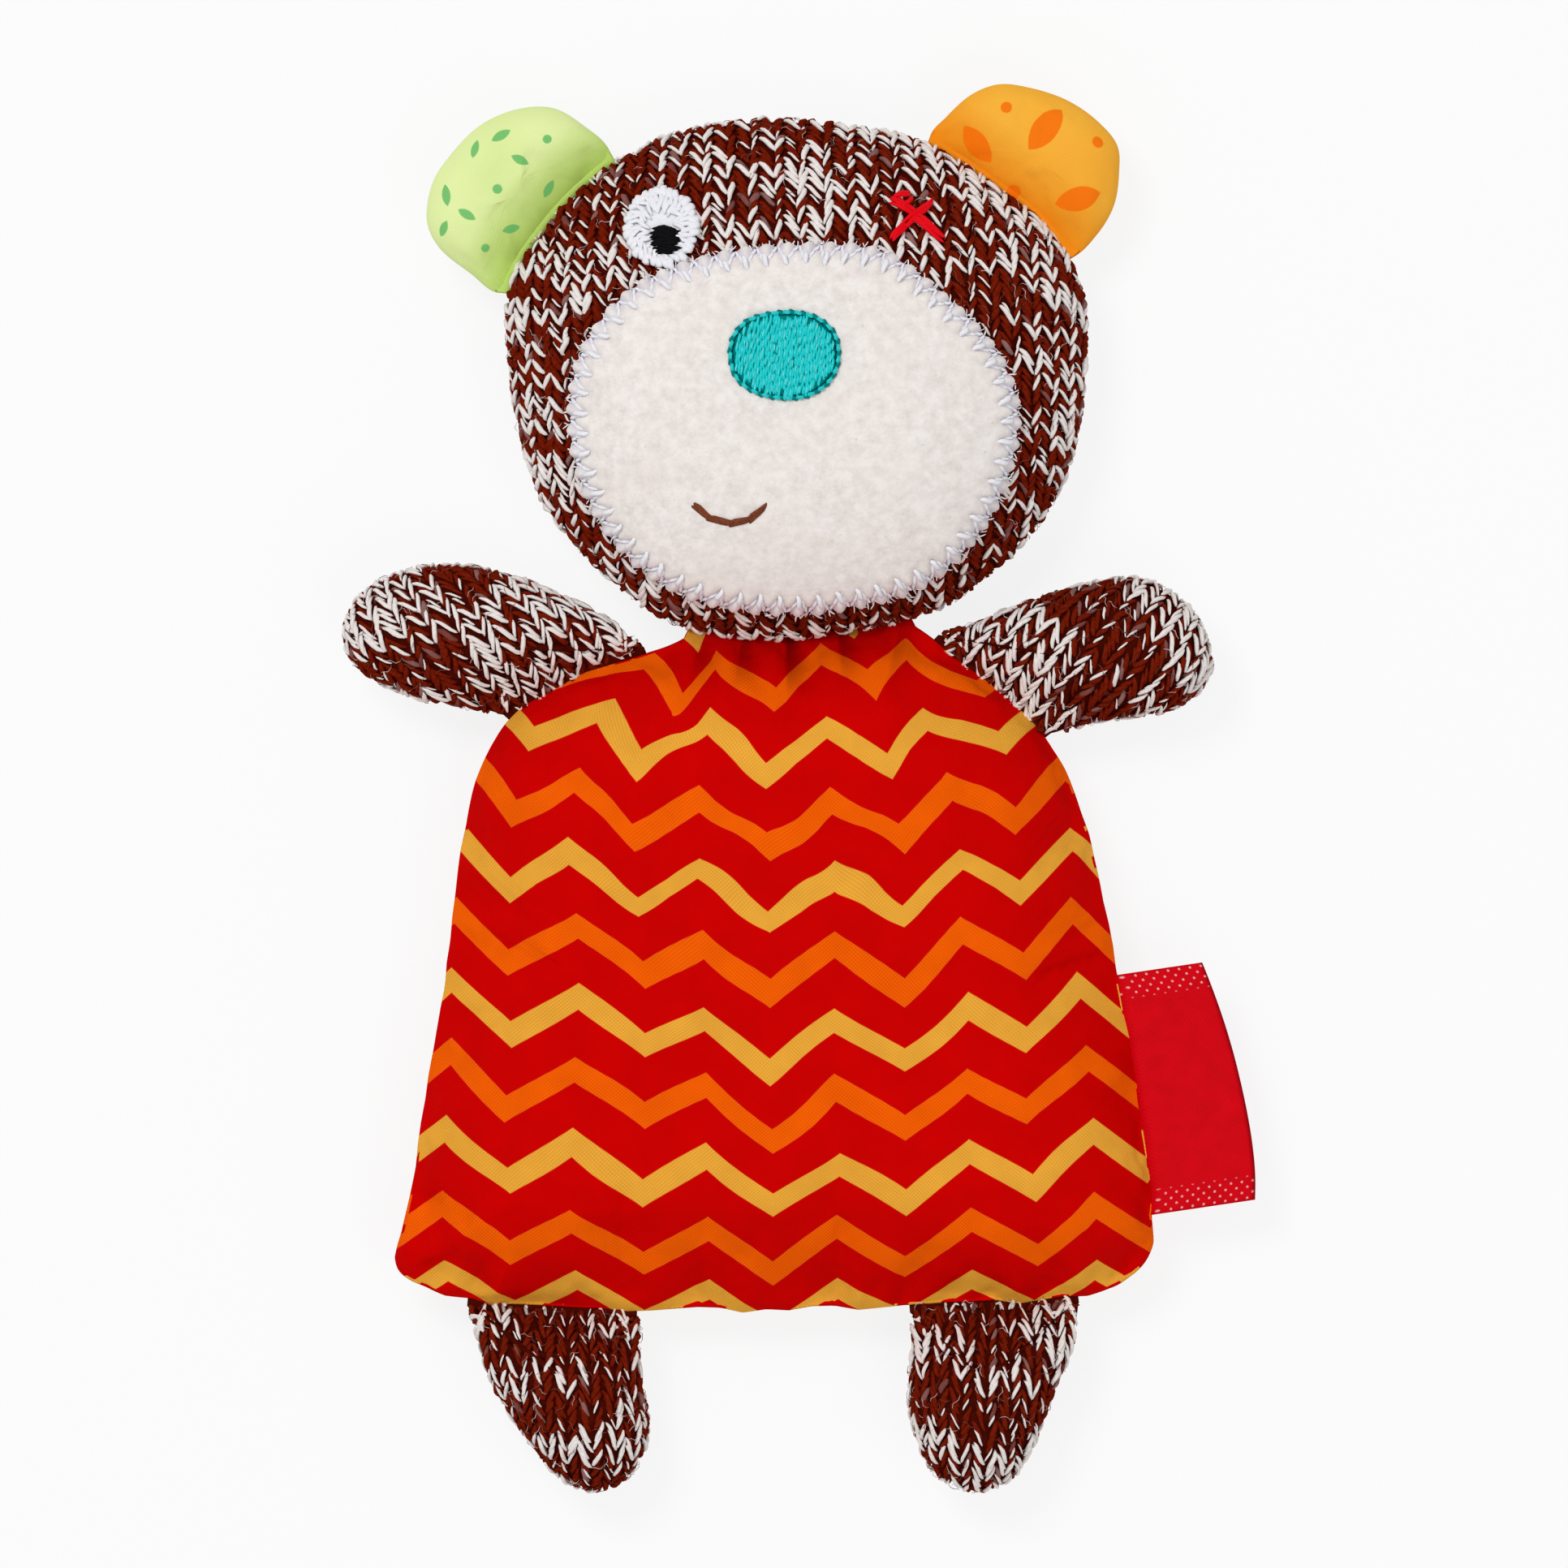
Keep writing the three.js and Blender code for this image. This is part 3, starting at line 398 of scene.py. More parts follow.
def level_at(pillow, points, side, inset=0.0):
    """The height above the floor of a panel's surface, a given depth under its cloth."""
    crown = (pillow["crown"] if side > 0 else pillow.get("back_crown", BACK_CROWN)) - inset
    height = crown * swell(distance_to(pillow["rim"], points) - inset,
                           pillow["reach"], pillow["fullness"])
    if pillow.get("root") is not None:
        to_root = distance_to(pillow["root"], points) - inset
        height = height * swell(to_root, pillow["root_reach"], ROOT_FULLNESS)
    if side > 0:
        return SEAM_HEIGHT + height
    return np.maximum(inset, SEAM_HEIGHT - height)


# %% The stuffed pieces
def shares_of(middle, width, length):
    return lambda shares: middle + np.asarray(shares, float) * (width, length)


def shares_from(root, degrees, width, length):
    outwards = heading(degrees)
    across = np.array([outwards[1], -outwards[0]])

    def place(shares):
        shares = np.atleast_2d(np.asarray(shares, float))
        return root + shares[:, :1] * across * width + shares[:, 1:] * outwards * length
    return place


body_middle = np.zeros(2)
head_middle = np.array([HEAD_SHIFT, (BODY_LENGTH + HEAD_LENGTH) / 2])
on_body = shares_of(body_middle, BODY_WIDTH, BODY_LENGTH)
on_head = shares_of(head_middle, HEAD_WIDTH, HEAD_LENGTH)
body_outline = smooth_outline(on_body(BODY_SHAPE))
head_outline = smooth_outline(on_head(HEAD_SHAPE))
body_edge = offset_outline(body_outline, CLEARANCE)
head_edge = offset_outline(head_outline, CLEARANCE)

head = {
    "outline": head_outline, "rim": closed(head_outline), "spine": on_head([(-0.1, 0), (0.1, 0)]),
    "crown": 12.5, "reach": 22, "fullness": 0.7,
}
body_free, body_neck = cut_outline(body_outline, head_edge)
body = {
    "outline": spread(np.vstack([body_free, body_neck[1:]]), OUTLINE_STEPS),
    "rim": np.vstack([body_free, body_neck[1:]]), "spine": on_body([(-0.2, -0.05), (0.2, -0.05)]),
    "crown": 8.5, "reach": 16, "fullness": 1,
}


def sewn_piece(name, larger, width, length, spine, **form):
    """A limb or ear: its outline starts where it leaves the larger piece's seam."""
    middle, on, outline, edge = larger
    root = hit_through(middle, on(ATTACH[name]), outline)
    place = shares_from(root, HEADING[name], width, length)
    free, inner = cut_outline(smooth_outline(place(LIMB_SHAPES[name])), edge)
    whole = np.vstack([free, inner[1:]])
    return {**form, "outline": spread(whole, OUTLINE_STEPS // 2), "rim": free,
            "root": closed(edge), "spine": place(spine)}


on_head_seam = (head_middle, on_head, head_outline, head_edge)
on_body_seam = (body_middle, on_body, body_outline, body_edge)
EAR = {"crown": 2.6, "back_crown": 2.2, "reach": 5, "fullness": 0.7, "root_reach": 6}
LIMB = {"crown": 6.8, "fullness": 0.6, "root_reach": 11}
KINDS = {
    "ear": (on_head_seam, EAR_WIDTH, EAR_LENGTH, EAR),
    "arm": (on_body_seam, ARM_WIDTH, ARM_LENGTH, {**LIMB, "reach": 7.5}),
    "leg": (on_body_seam, LEG_WIDTH, LEG_LENGTH, {**LIMB, "reach": 8}),
}
SPINES = {
    "green_ear": [(-0.05, 0.3), (0.05, 0.3)],
    "orange_ear": [(-0.05, 0.3), (0.05, 0.3)],
    "left_arm": [(0.08, 0.38), (0.1, 0.66)],
    "right_arm": [(-0.06, 0.38), (-0.06, 0.58)],
    "left_leg": [(0, 0.42), (-0.03, 0.58)],
    "right_leg": [(0.02, 0.42), (0.03, 0.58)],
}
pillows = {"head": head, "body": body}
for name, spine in SPINES.items():
    larger, width, length, form = KINDS[name[-3:]]
    pillows[name] = sewn_piece(name, larger, width, length, spine, **form)
print("stuffed pieces:", ", ".join(pillows))

# %% [markdown]
# ## Panels as nets of rings
# A panel is a net of rings that shrink from the seam towards a short spine, close together near
# the seam, where it curves most. Each point also gets its place on the flat cloth before sewing:
# as far from the spine as the cloth is long. Patterns and stitches follow that flat place, which
# is stored as the UV map "cloth", so they bend over the edge as real cloth does.

# %% Panel nets
CLOTH_SPAN = 200.0
GROUND_INSET = 0.45
TUCK_LOOPS = 3
SPINE_SPACING = 1.15
THIN_SHARE = 0.1
SEAM_SLACK = 0.1


def spine_places(pillow, points, stops):
    """The point of the spine that belongs to each point of the outline, and its number."""
    start, end = pillow["spine"]
    span = end - start
    share = np.clip(((points - start) @ span) / (span @ span), 0, 1)
    stop = np.round(share * stops).astype(int)
    return start + (stop / stops)[:, None] * span, stop


def panel_net(pillow, side, inset=0.0, rings=26, steps=None, tuck=0.0):
    """Points, flat places and faces of one side. A tuck carries it a little past the seam."""
    outline = pillow["outline"] if steps is None else spread(closed(pillow["outline"]), steps)
    edge = offset_outline(outline, -inset)
    spacing = lengths_along(closed(outline))[-1] / len(outline)
    stop_count = max(1, int(np.linalg.norm(np.diff(pillow["spine"], axis=0))
                            / (SPINE_SPACING * spacing)))
    spine, stop = spine_places(pillow, outline, stop_count)
    loops = []
    for ring in range(rings):
        share = 1 - (ring / rings) ** 2
        plan = spine + (edge - spine) * share
        level = level_at(pillow, plan, side, inset)
        if ring == 0:
            level = np.full(len(plan), SEAM_HEIGHT)
        loops.append(np.column_stack([plan, level]))
    for depth in np.linspace(0, tuck, TUCK_LOOPS + 1)[1:] if tuck else []:
        beyond = np.column_stack([edge, np.full(len(edge), SEAM_HEIGHT - side * depth)])
        loops.insert(0, beyond)
    stops = pillow["spine"][0] + np.linspace(0, 1, stop_count + 1)[:, None] * (
        pillow["spine"][1] - pillow["spine"][0])
    ridge = np.column_stack([stops, level_at(pillow, stops, side, inset)])
    inwards = [*loops, ridge[stop]]
    towards = unit(edge - spine)
    length = np.zeros(len(edge))
    flats = [None] * len(loops)
    for index in range(len(loops) - 1, -1, -1):
        length = length + np.linalg.norm(inwards[index] - inwards[index + 1], axis=1)
        flats[index] = spine + towards * length[:, None]
    count = len(edge)
    points = np.vstack([*loops, ridge])
    flat = np.vstack([*flats, stops])
    faces = []
    following = np.roll(np.arange(count), -1)
    for index in range(len(loops) - 1):
        here, there = index * count, (index + 1) * count
        faces += [(here + i, here + j, there + j, there + i)
                  for i, j in zip(range(count), following)]
    last, first_stop = (len(loops) - 1) * count, len(loops) * count
    for i, j in zip(range(count), following):
        face = (last + i, last + j, first_stop + stop[j], first_stop + stop[i])
        faces.append(face[:3] if stop[i] == stop[j] else face)
    if side < 0:
        faces = [face[::-1] for face in faces]
    return points, flat, faces


def reach_under(points, larger, depth, count, flat=None):
    """Moves the edge along a larger piece's seam, the first count points, a little under it."""
    edge = points[:count, :2]
    place, gap = nearest_on(closed(offset_outline(larger, -depth)), edge)
    near = (gap < depth + CLEARANCE + GROUND_INSET + SEAM_SLACK)[:, None]
    if flat is not None:
        flat[:count] += (place - edge) * near
    points[:count, :2] = np.where(near, place, edge)


def mesh_object(name, points, faces, material=None, flat=None):
    """A smooth-shaded mesh object from points in millimetres, with its flat places as UVs."""
    mesh = bpy.data.meshes.new(name)
    mesh.from_pydata((np.asarray(points) * MM).tolist(), [], [tuple(map(int, f)) for f in faces])
    mesh.shade_smooth()
    if flat is not None:
        corner = np.zeros(len(mesh.loops), int)
        mesh.loops.foreach_get("vertex_index", corner)
        layer = mesh.uv_layers.new(name="cloth")
        uv = np.asarray(flat)[corner] / CLOTH_SPAN + 0.5
        layer.data.foreach_set("uv", uv.astype(np.float32).ravel())
    if material is not None:
        mesh.materials.append(material)
    piece = bpy.data.objects.new(name, mesh)
    bpy.context.scene.collection.objects.link(piece)
    return piece


def give_attribute(piece, name, values):
    """Stores one number for each point, which a material can read by its name."""
    attribute = piece.data.attributes.new(name, "FLOAT", "POINT")
    attribute.data.foreach_set("value", values.astype(np.float32))


def search_tree(points):
    """A tree that quickly finds the nearest of some points."""
    tree = mathutils.kdtree.KDTree(len(points))
    for index, point in enumerate(points):
        tree.insert(point, index)
    tree.balance()
    return tree


def apply_modifiers(piece):
    """Turns what a piece's modifiers make into its plain mesh."""
    graph = bpy.context.evaluated_depsgraph_get()
    mesh = bpy.data.meshes.new_from_object(piece.evaluated_get(graph))
    piece.modifiers.clear()
    piece.data = mesh


def give_thickness(piece, thickness, full=None):
    """Thickens a panel inwards. Where only some points are full, the others get a tenth."""
    wall = piece.modifiers.new("wall", "SOLIDIFY")
    wall.thickness = thickness * MM
    wall.offset = -1
    if full is not None:
        group = piece.vertex_groups.new(name="full")
        group.add(np.flatnonzero(full).tolist(), 1.0, "REPLACE")
        wall.vertex_group = group.name
        wall.thickness_vertex_group = THIN_SHARE
    apply_modifiers(piece)


# %% [markdown]
# ## Cloth finishes
# Printed cotton is a fine plain weave: a small bump and a slight change of colour from thread to
# thread. The print itself is a function of the flat place on the cloth. The red bag has yellow
# and orange zigzags that sag a little towards its middle.

# %% Materials: shared parts
def new_material(name, roughness, sheen=0.0, specular=0.3):
    material = bpy.data.materials.new(name)
    material.use_nodes = True
    shader = material.node_tree.nodes["Principled BSDF"]
    shader.inputs["Roughness"].default_value = roughness
    shader.inputs["Sheen Weight"].default_value = sheen
    shader.inputs["Sheen Roughness"].default_value = 0.5
    shader.inputs["Specular IOR Level"].default_value = specular
    return material, material.node_tree, shader


def flat_place(tree):
    """The flat place on the cloth in millimetres, across and along."""
    uv = add(tree, "ShaderNodeUVMap", uv_map="cloth")
    parts = add(tree, "ShaderNodeSeparateXYZ", {0: uv.outputs[0]})
    return [math_out(tree, "MULTIPLY_ADD", parts.outputs[k], CLOTH_SPAN, -CLOTH_SPAN / 2)
            for k in (0, 1)]


def mix_colours(tree, share, first, second, blend="MIX"):
    node = add(tree, "ShaderNodeMix", data_type="RGBA", blend_type=blend)
    for socket, value in zip((node.inputs[0], node.inputs[6], node.inputs[7]),
                             (share, first, second)):
        if isinstance(value, bpy.types.NodeSocket):
            tree.links.new(value, socket)
        else:
            socket.default_value = value
    return node.outputs[2]


def noise(tree, scale, detail=2.0, roughness=0.5):
    """Noise on object coordinates; the scale is in cells a metre."""
    place = add(tree, "ShaderNodeTexCoord").outputs["Object"]
    values = {"Vector": place, "Scale": scale, "Detail": detail, "Roughness": roughness}
    return add(tree, "ShaderNodeTexNoise", values).outputs["Fac"]


def ramp(tree, value, low, high, first=0.0, last=1.0):
    """Goes evenly from first to last while a value goes from low to high."""
    node = add(tree, "ShaderNodeMapRange", {0: value, 1: low, 2: high, 3: first, 4: last})
    return node.outputs[0]


def attribute_out(tree, name):
    return add(tree, "ShaderNodeAttribute", attribute_name=name).outputs["Fac"]


def paint_with(tree, shader, colour, height=None, strength=0.0, distance=0.0):
    """Gives a shader its colour and, where a height is given, a bump of that depth."""
    tree.links.new(colour, shader.inputs["Base Color"])
    if height is not None:
        node = add(tree, "ShaderNodeBump",
                   {"Height": height, "Strength": strength, "Distance": distance * MM})
        tree.links.new(node.outputs[0], shader.inputs["Normal"])


def weave_height(tree, across, along, pitch):
    """Over and under of a plain weave, from 0 in its pores to 1 on its threads."""
    turn = 2 * math.pi / pitch
    over = math_out(tree, "SINE", math_out(tree, "MULTIPLY", across, turn))
    under = math_out(tree, "SINE", math_out(tree, "MULTIPLY", along, turn))
    return math_out(tree, "MULTIPLY_ADD", math_out(tree, "MULTIPLY", over, under), 0.5, 0.5)


# %% Material: zigzag print
ZIGZAG_PERIOD = 14.8
ZIGZAG_PEAK = 6.95
ZIGZAG_RISE = 5.6
STRIPE_PERIOD = 16.7
STRIPE_LEVEL = -2.0
STRIPE_SHARE = 0.19
STRIPE_EDGE = 0.008
PRINT_RED = linear(210, 0, 0)
PRINT_YELLOW = linear(238, 162, 40)
PRINT_ORANGE = linear(248, 86, 0)


def stripe_mask(tree, height, shift):
    """1 inside the stripes that lie a given share of their period up, else 0, with a soft edge."""
    share = math_out(tree, "FRACT", math_out(tree, "ADD", height, shift))
    top = ramp(tree, share, 1 - STRIPE_EDGE, 1.0, 1.0, 0.0)
    low = ramp(tree, share, 1 - STRIPE_SHARE, 1 + STRIPE_EDGE - STRIPE_SHARE)
    return math_out(tree, "MULTIPLY", top, low)


def zigzag_cloth():
    material, tree, shader = new_material("chevron_cloth", 0.8, 0.0, 0.02)
    across, along = flat_place(tree)
    from_peak = math_out(tree, "SUBTRACT", across, ZIGZAG_PEAK)
    fold = math_out(tree, "PINGPONG", from_peak, ZIGZAG_PERIOD / 2)
    drop = math_out(tree, "MULTIPLY", fold, 2 * ZIGZAG_RISE / ZIGZAG_PERIOD)
    height = math_out(tree, "SUBTRACT", math_out(tree, "ADD", along, drop), STRIPE_LEVEL)
    height = math_out(tree, "DIVIDE", height, STRIPE_PERIOD)
    yellow = stripe_mask(tree, height, 0.0)
    orange = stripe_mask(tree, height, 0.5)
    colour = mix_colours(tree, yellow, PRINT_RED, PRINT_YELLOW)
    colour = mix_colours(tree, orange, colour, PRINT_ORANGE)
    weave = weave_height(tree, across, along, 0.42)
    printed = math_out(tree, "MAXIMUM", yellow, orange)
    dots = math_out(tree, "MULTIPLY", math_out(tree, "POWER", weave, 2.0), printed)
    dot_colour = mix_colours(tree, orange, linear(255, 210, 110), linear(255, 136, 14))
    colour = mix_colours(tree, math_out(tree, "MULTIPLY", dots, 0.55), colour, dot_colour)
    darker = ramp(tree, noise(tree, 260, 3), 0.3, 0.7, 0.12, 0.0)
    colour = mix_colours(tree, darker, colour, linear(120, 0, 0))
    # Painted shade: darkens the print in the pleats and, as the head's shadow, along the neck seam.
    painted_crease_shade = attribute_out(tree, "painted_crease_shade")
    colour = mix_colours(tree, painted_crease_shade, colour, (0.22, 0.1, 0.1, 1), "MULTIPLY")
    paint_with(tree, shader, colour, weave, 0.4, 0.06)
    return material


CHEVRON_CLOTH = zigzag_cloth()

# %% [markdown]
# ## Marled knit
# The knit is one yarn of a white and a dark brown ply twisted together. In each stitch the two
# legs of a V show the plies as short strands side by side, some rows mostly white, others mostly
# brown. Real stitches give the edge its bumps, so they are made as shapes: Geometry Nodes put a
# strand on every point of the flat knit and then lay the whole net on the stuffed panel.

# %% Materials: yarn
YARN_PALE = (linear(226, 212, 208), linear(255, 252, 248))
YARN_DARK = (linear(82, 6, 0), linear(138, 40, 17))


def yarn_material():
    material, tree, shader = new_material("marled_yarn", 0.95, 0.0, 0.0)
    fibres = noise(tree, 2600, 3)
    pale = mix_colours(tree, fibres, *YARN_PALE)
    dark = mix_colours(tree, fibres, *YARN_DARK)
    colour = mix_colours(tree, attribute_out(tree, "ply"), dark, pale)
    paint_with(tree, shader, colour, noise(tree, 5200, 2), 0.5, 0.06)
    return material


def knit_ground_material():
    material, tree, shader = new_material("knit_ground", 0.95, 0.0, 0.0)
    # The ground stands for the brown yarn behind the stitches, and is darker than the brown ply as
    # a painted shade in the gaps between them.
    colour = mix_colours(tree, noise(tree, 900, 3), linear(42, 4, 2), linear(92, 22, 10))
    paint_with(tree, shader, colour, noise(tree, 2500, 3), 0.6, 0.15)
    return material


def fuzz_material():
    material, tree, shader = new_material("yarn_fuzz", 1.0, 0.0, 0.0)
    ply = attribute_out(tree, "ply")
    paint_with(tree, shader, mix_colours(tree, ply, linear(128, 74, 62), linear(206, 188, 184)))
    return material


YARN_FUZZ = fuzz_material()
MARLED_YARN = yarn_material()
KNIT_GROUND = knit_ground_material()


# %% One strand of yarn
def strand_object(name, rings, sides, width, bend, rise):
    """A strand one unit long: tapered ends, a raised middle and a slight S bend."""
    points, faces = [], []
    for ring in range(rings):
        t = -1 + 2 * (ring + 0.5) / rings
        radius = width / 2 * (1 - abs(t) ** 2.6) ** 0.55
        middle = np.array([bend * math.sin(math.pi * t), 0.5 * t, rise * (1 - t * t)])
        for side in range(sides):
            turn = 2 * math.pi * side / sides
            points.append(middle + radius * np.array([math.cos(turn), 0, math.sin(turn)]))
    points.append([0, -0.5, -0.1])
    points.append([0, 0.5, -0.1])
    for ring in range(rings - 1):
        for side in range(sides):
            after = (side + 1) % sides
            a, b = ring * sides + side, ring * sides + after
            faces.append((a, a + sides, b + sides, b))
    for side in range(sides):
        after = (side + 1) % sides
        faces.append((len(points) - 2, side, after))
        faces.append((len(points) - 1, (rings - 1) * sides + after, (rings - 1) * sides + side))
    return mesh_object(name, np.array(points) / MM, faces, MARLED_YARN)


strand = strand_object("strand", 5, 5, 1.0, 0.16, 0.5)
hair = strand_object("hair", 4, 3, 0.045, 0.16, 0.2)
print("faces in a strand:", len(strand.data.polygons), "and in a hair:", len(hair.data.polygons))


# %% The tree that lays strands on a panel
def new_tree(name, inputs):
    tree = bpy.data.node_groups.new(name, "GeometryNodeTree")
    tree.interface.new_socket("Geometry", in_out="INPUT", socket_type="NodeSocketGeometry")
    for title, kind in inputs:
        tree.interface.new_socket(title, in_out="INPUT", socket_type=kind)
    tree.interface.new_socket("Geometry", in_out="OUTPUT", socket_type="NodeSocketGeometry")
    return tree, tree.nodes.new("NodeGroupInput"), tree.nodes.new("NodeGroupOutput")


def named(tree, name, kind):
    node = add(tree, "GeometryNodeInputNamedAttribute", data_type=kind)
    node.inputs["Name"].default_value = name
    return node.outputs[0]


def vector_out(tree, operation, first, second=None, scale=None):
    node = add(tree, "ShaderNodeVectorMath", {0: first}, operation=operation)
    for socket, value in ((node.inputs[1], second), (node.inputs[3], scale)):
        if isinstance(value, bpy.types.NodeSocket):
            tree.links.new(value, socket)
        elif value is not None:
            socket.default_value = value
    return node.outputs[0]


def sample_cloth(tree, surface, value, uv):
    node = add(tree, "GeometryNodeSampleUVSurface", data_type="FLOAT_VECTOR")
    tree.links.new(surface, node.inputs[0])
    tree.links.new(value, node.inputs["Value"])
    tree.links.new(named(tree, "cloth", "FLOAT_VECTOR"), node.inputs["UV Map"])
    tree.links.new(uv, node.inputs["Sample UV"])
    return node.outputs[0]


def laying_tree():
    """Strands on points of the flat knit, realized and laid on the surface's cloth map."""
    inputs = [("Surface", "NodeSocketObject"), ("Strand", "NodeSocketObject"),
              ("Span", "NodeSocketFloat"), ("Wobble", "NodeSocketFloat"),
              ("Seed", "NodeSocketInt"), ("Smooth", "NodeSocketBool"),
              ("Material", "NodeSocketMaterial")]
    tree, given, result = new_tree("lay_strands", inputs)
    strand_info = add(tree, "GeometryNodeObjectInfo", {"Object": given.outputs["Strand"]})
    surface_info = add(tree, "GeometryNodeObjectInfo", {"Object": given.outputs["Surface"]})
    wobble = add(tree, "FunctionNodeRandomValue", {"Seed": given.outputs["Seed"]},
                 data_type="FLOAT")
    tree.links.new(given.outputs["Wobble"], wobble.inputs[3])
    tree.links.new(math_out(tree, "MULTIPLY", given.outputs["Wobble"], -1.0), wobble.inputs[2])
    turn = math_out(tree, "ADD", named(tree, "turn", "FLOAT"), wobble.outputs[1])
    euler = add(tree, "ShaderNodeCombineXYZ", {"Z": turn})
    rotation = add(tree, "FunctionNodeEulerToRotation", {0: euler.outputs[0]})
    strands = add(tree, "GeometryNodeInstanceOnPoints",
                  {"Points": given.outputs["Geometry"],
                   "Instance": strand_info.outputs["Geometry"],
                   "Rotation": rotation.outputs[0],
                   "Scale": named(tree, "size", "FLOAT_VECTOR")})
    real = add(tree, "GeometryNodeRealizeInstances", {"Geometry": strands.outputs[0]})
    place = add(tree, "GeometryNodeInputPosition").outputs[0]
    parts = add(tree, "ShaderNodeSeparateXYZ", {0: place})
    shift = add(tree, "ShaderNodeCombineXYZ", {"X": 0.5, "Y": 0.5}).outputs[0]
    per_span = math_out(tree, "DIVIDE", 1.0, given.outputs["Span"])
    uv = vector_out(tree, "ADD", vector_out(tree, "SCALE", place, scale=per_span), shift)
    surface = surface_info.outputs["Geometry"]
    ground = sample_cloth(tree, surface, add(tree, "GeometryNodeInputPosition").outputs[0], uv)
    normal = sample_cloth(tree, surface, add(tree, "GeometryNodeInputNormal").outputs[0], uv)
    normal = vector_out(tree, "NORMALIZE", normal)
    lifted = vector_out(tree, "SCALE", normal, scale=parts.outputs["Z"])
    laid = add(tree, "GeometryNodeSetPosition",
               {"Geometry": real.outputs[0], "Position": vector_out(tree, "ADD", ground, lifted)})
    smooth = add(tree, "GeometryNodeSetShadeSmooth",
                 {"Geometry": laid.outputs[0], "Shade Smooth": given.outputs["Smooth"]})
    painted = add(tree, "GeometryNodeSetMaterial",
                  {"Geometry": smooth.outputs[0], "Material": given.outputs["Material"]})
    tree.links.new(painted.outputs[0], result.inputs[0])
    return tree


lay_strands = laying_tree()


def run_tree(piece, tree, **values):
    """Sets a tree's inputs by their identifiers, then turns its result into a plain mesh."""
    modifier = piece.modifiers.new(tree.name, "NODES")
    modifier.node_group = tree
    for item in tree.interface.items_tree:
        if item.in_out == "INPUT" and item.name in values:
            modifier[item.identifier] = values[item.name]
    apply_modifiers(piece)


def point_object(name, points, **attributes):
    """A mesh of loose points in millimetres that carry attributes for a tree to read."""
    cloud = mesh_object(name, points, [])
    for title, values in attributes.items():
        values = np.asarray(values, np.float32)
        is_vector = values.ndim > 1
        kind = "FLOAT_VECTOR" if is_vector else "FLOAT"
        attribute = cloud.data.attributes.new(title, kind, "POINT")
        attribute.data.foreach_set("vector" if is_vector else "value", values.ravel())
    return cloud


# %% Where the stitches go
COLUMN_PITCH = 2.75
ROW_PITCH = 1.9
PLY_WIDTH = 0.6
PLY_STEP = 0.46
LEG_REACH = 0.25
HEAD_SLANTS = (29, 15, 1.0)
RIM_MARGIN = 1.5
CORNER_MARGIN = 0.9
CORNER_PLACES = [(0.75, 0.0), (1.4, 0.3), (1.5, -0.35), (2.2, 0.6), (2.3, -0.1), (2.2, -0.7),
                 (3.0, 0.8), (3.1, 0.1), (3.0, -0.8)]
HAIRS_PER_AREA = 0.25
STITCH_DRIFT = 0.11
SECOND_PLY_SHARE = 0.42
SLIVER_CHANCES = {-1: 0.3, 1: 0.08}
SLIVER_WIDTH, BROWN_WIDTH = 0.55, 1.25
WHITE_LENGTH, BROWN_LENGTH = 2.9, 2.6
LEG_DIFFERENCE, LENGTH_SPREAD = 0.2, 0.22
PLY_ASIDE = 0.08
WHITE_LIFT, BROWN_LIFT, LIFT_SPREAD = 0.22, -0.08, 0.08
MIXED_CHANCE = 0.08
FIELD_SIZE, FIELD_CONTRAST, FIELD_RANGE = 48, 6, (0.04, 0.97)


def on_flat(flat_rim, keep_out, corners, places):
    """Which flat places lie on the panel, clear of its rim, of its corners and of the felt."""
    inside = is_inside(flat_rim, places) & (distance_to(closed(flat_rim), places) > RIM_MARGIN)
    for corner in corners:
        inside &= np.linalg.norm(places - corner, axis=1) > CORNER_MARGIN
    if keep_out is not None:
        inside &= ~is_inside(keep_out, places)
    return inside


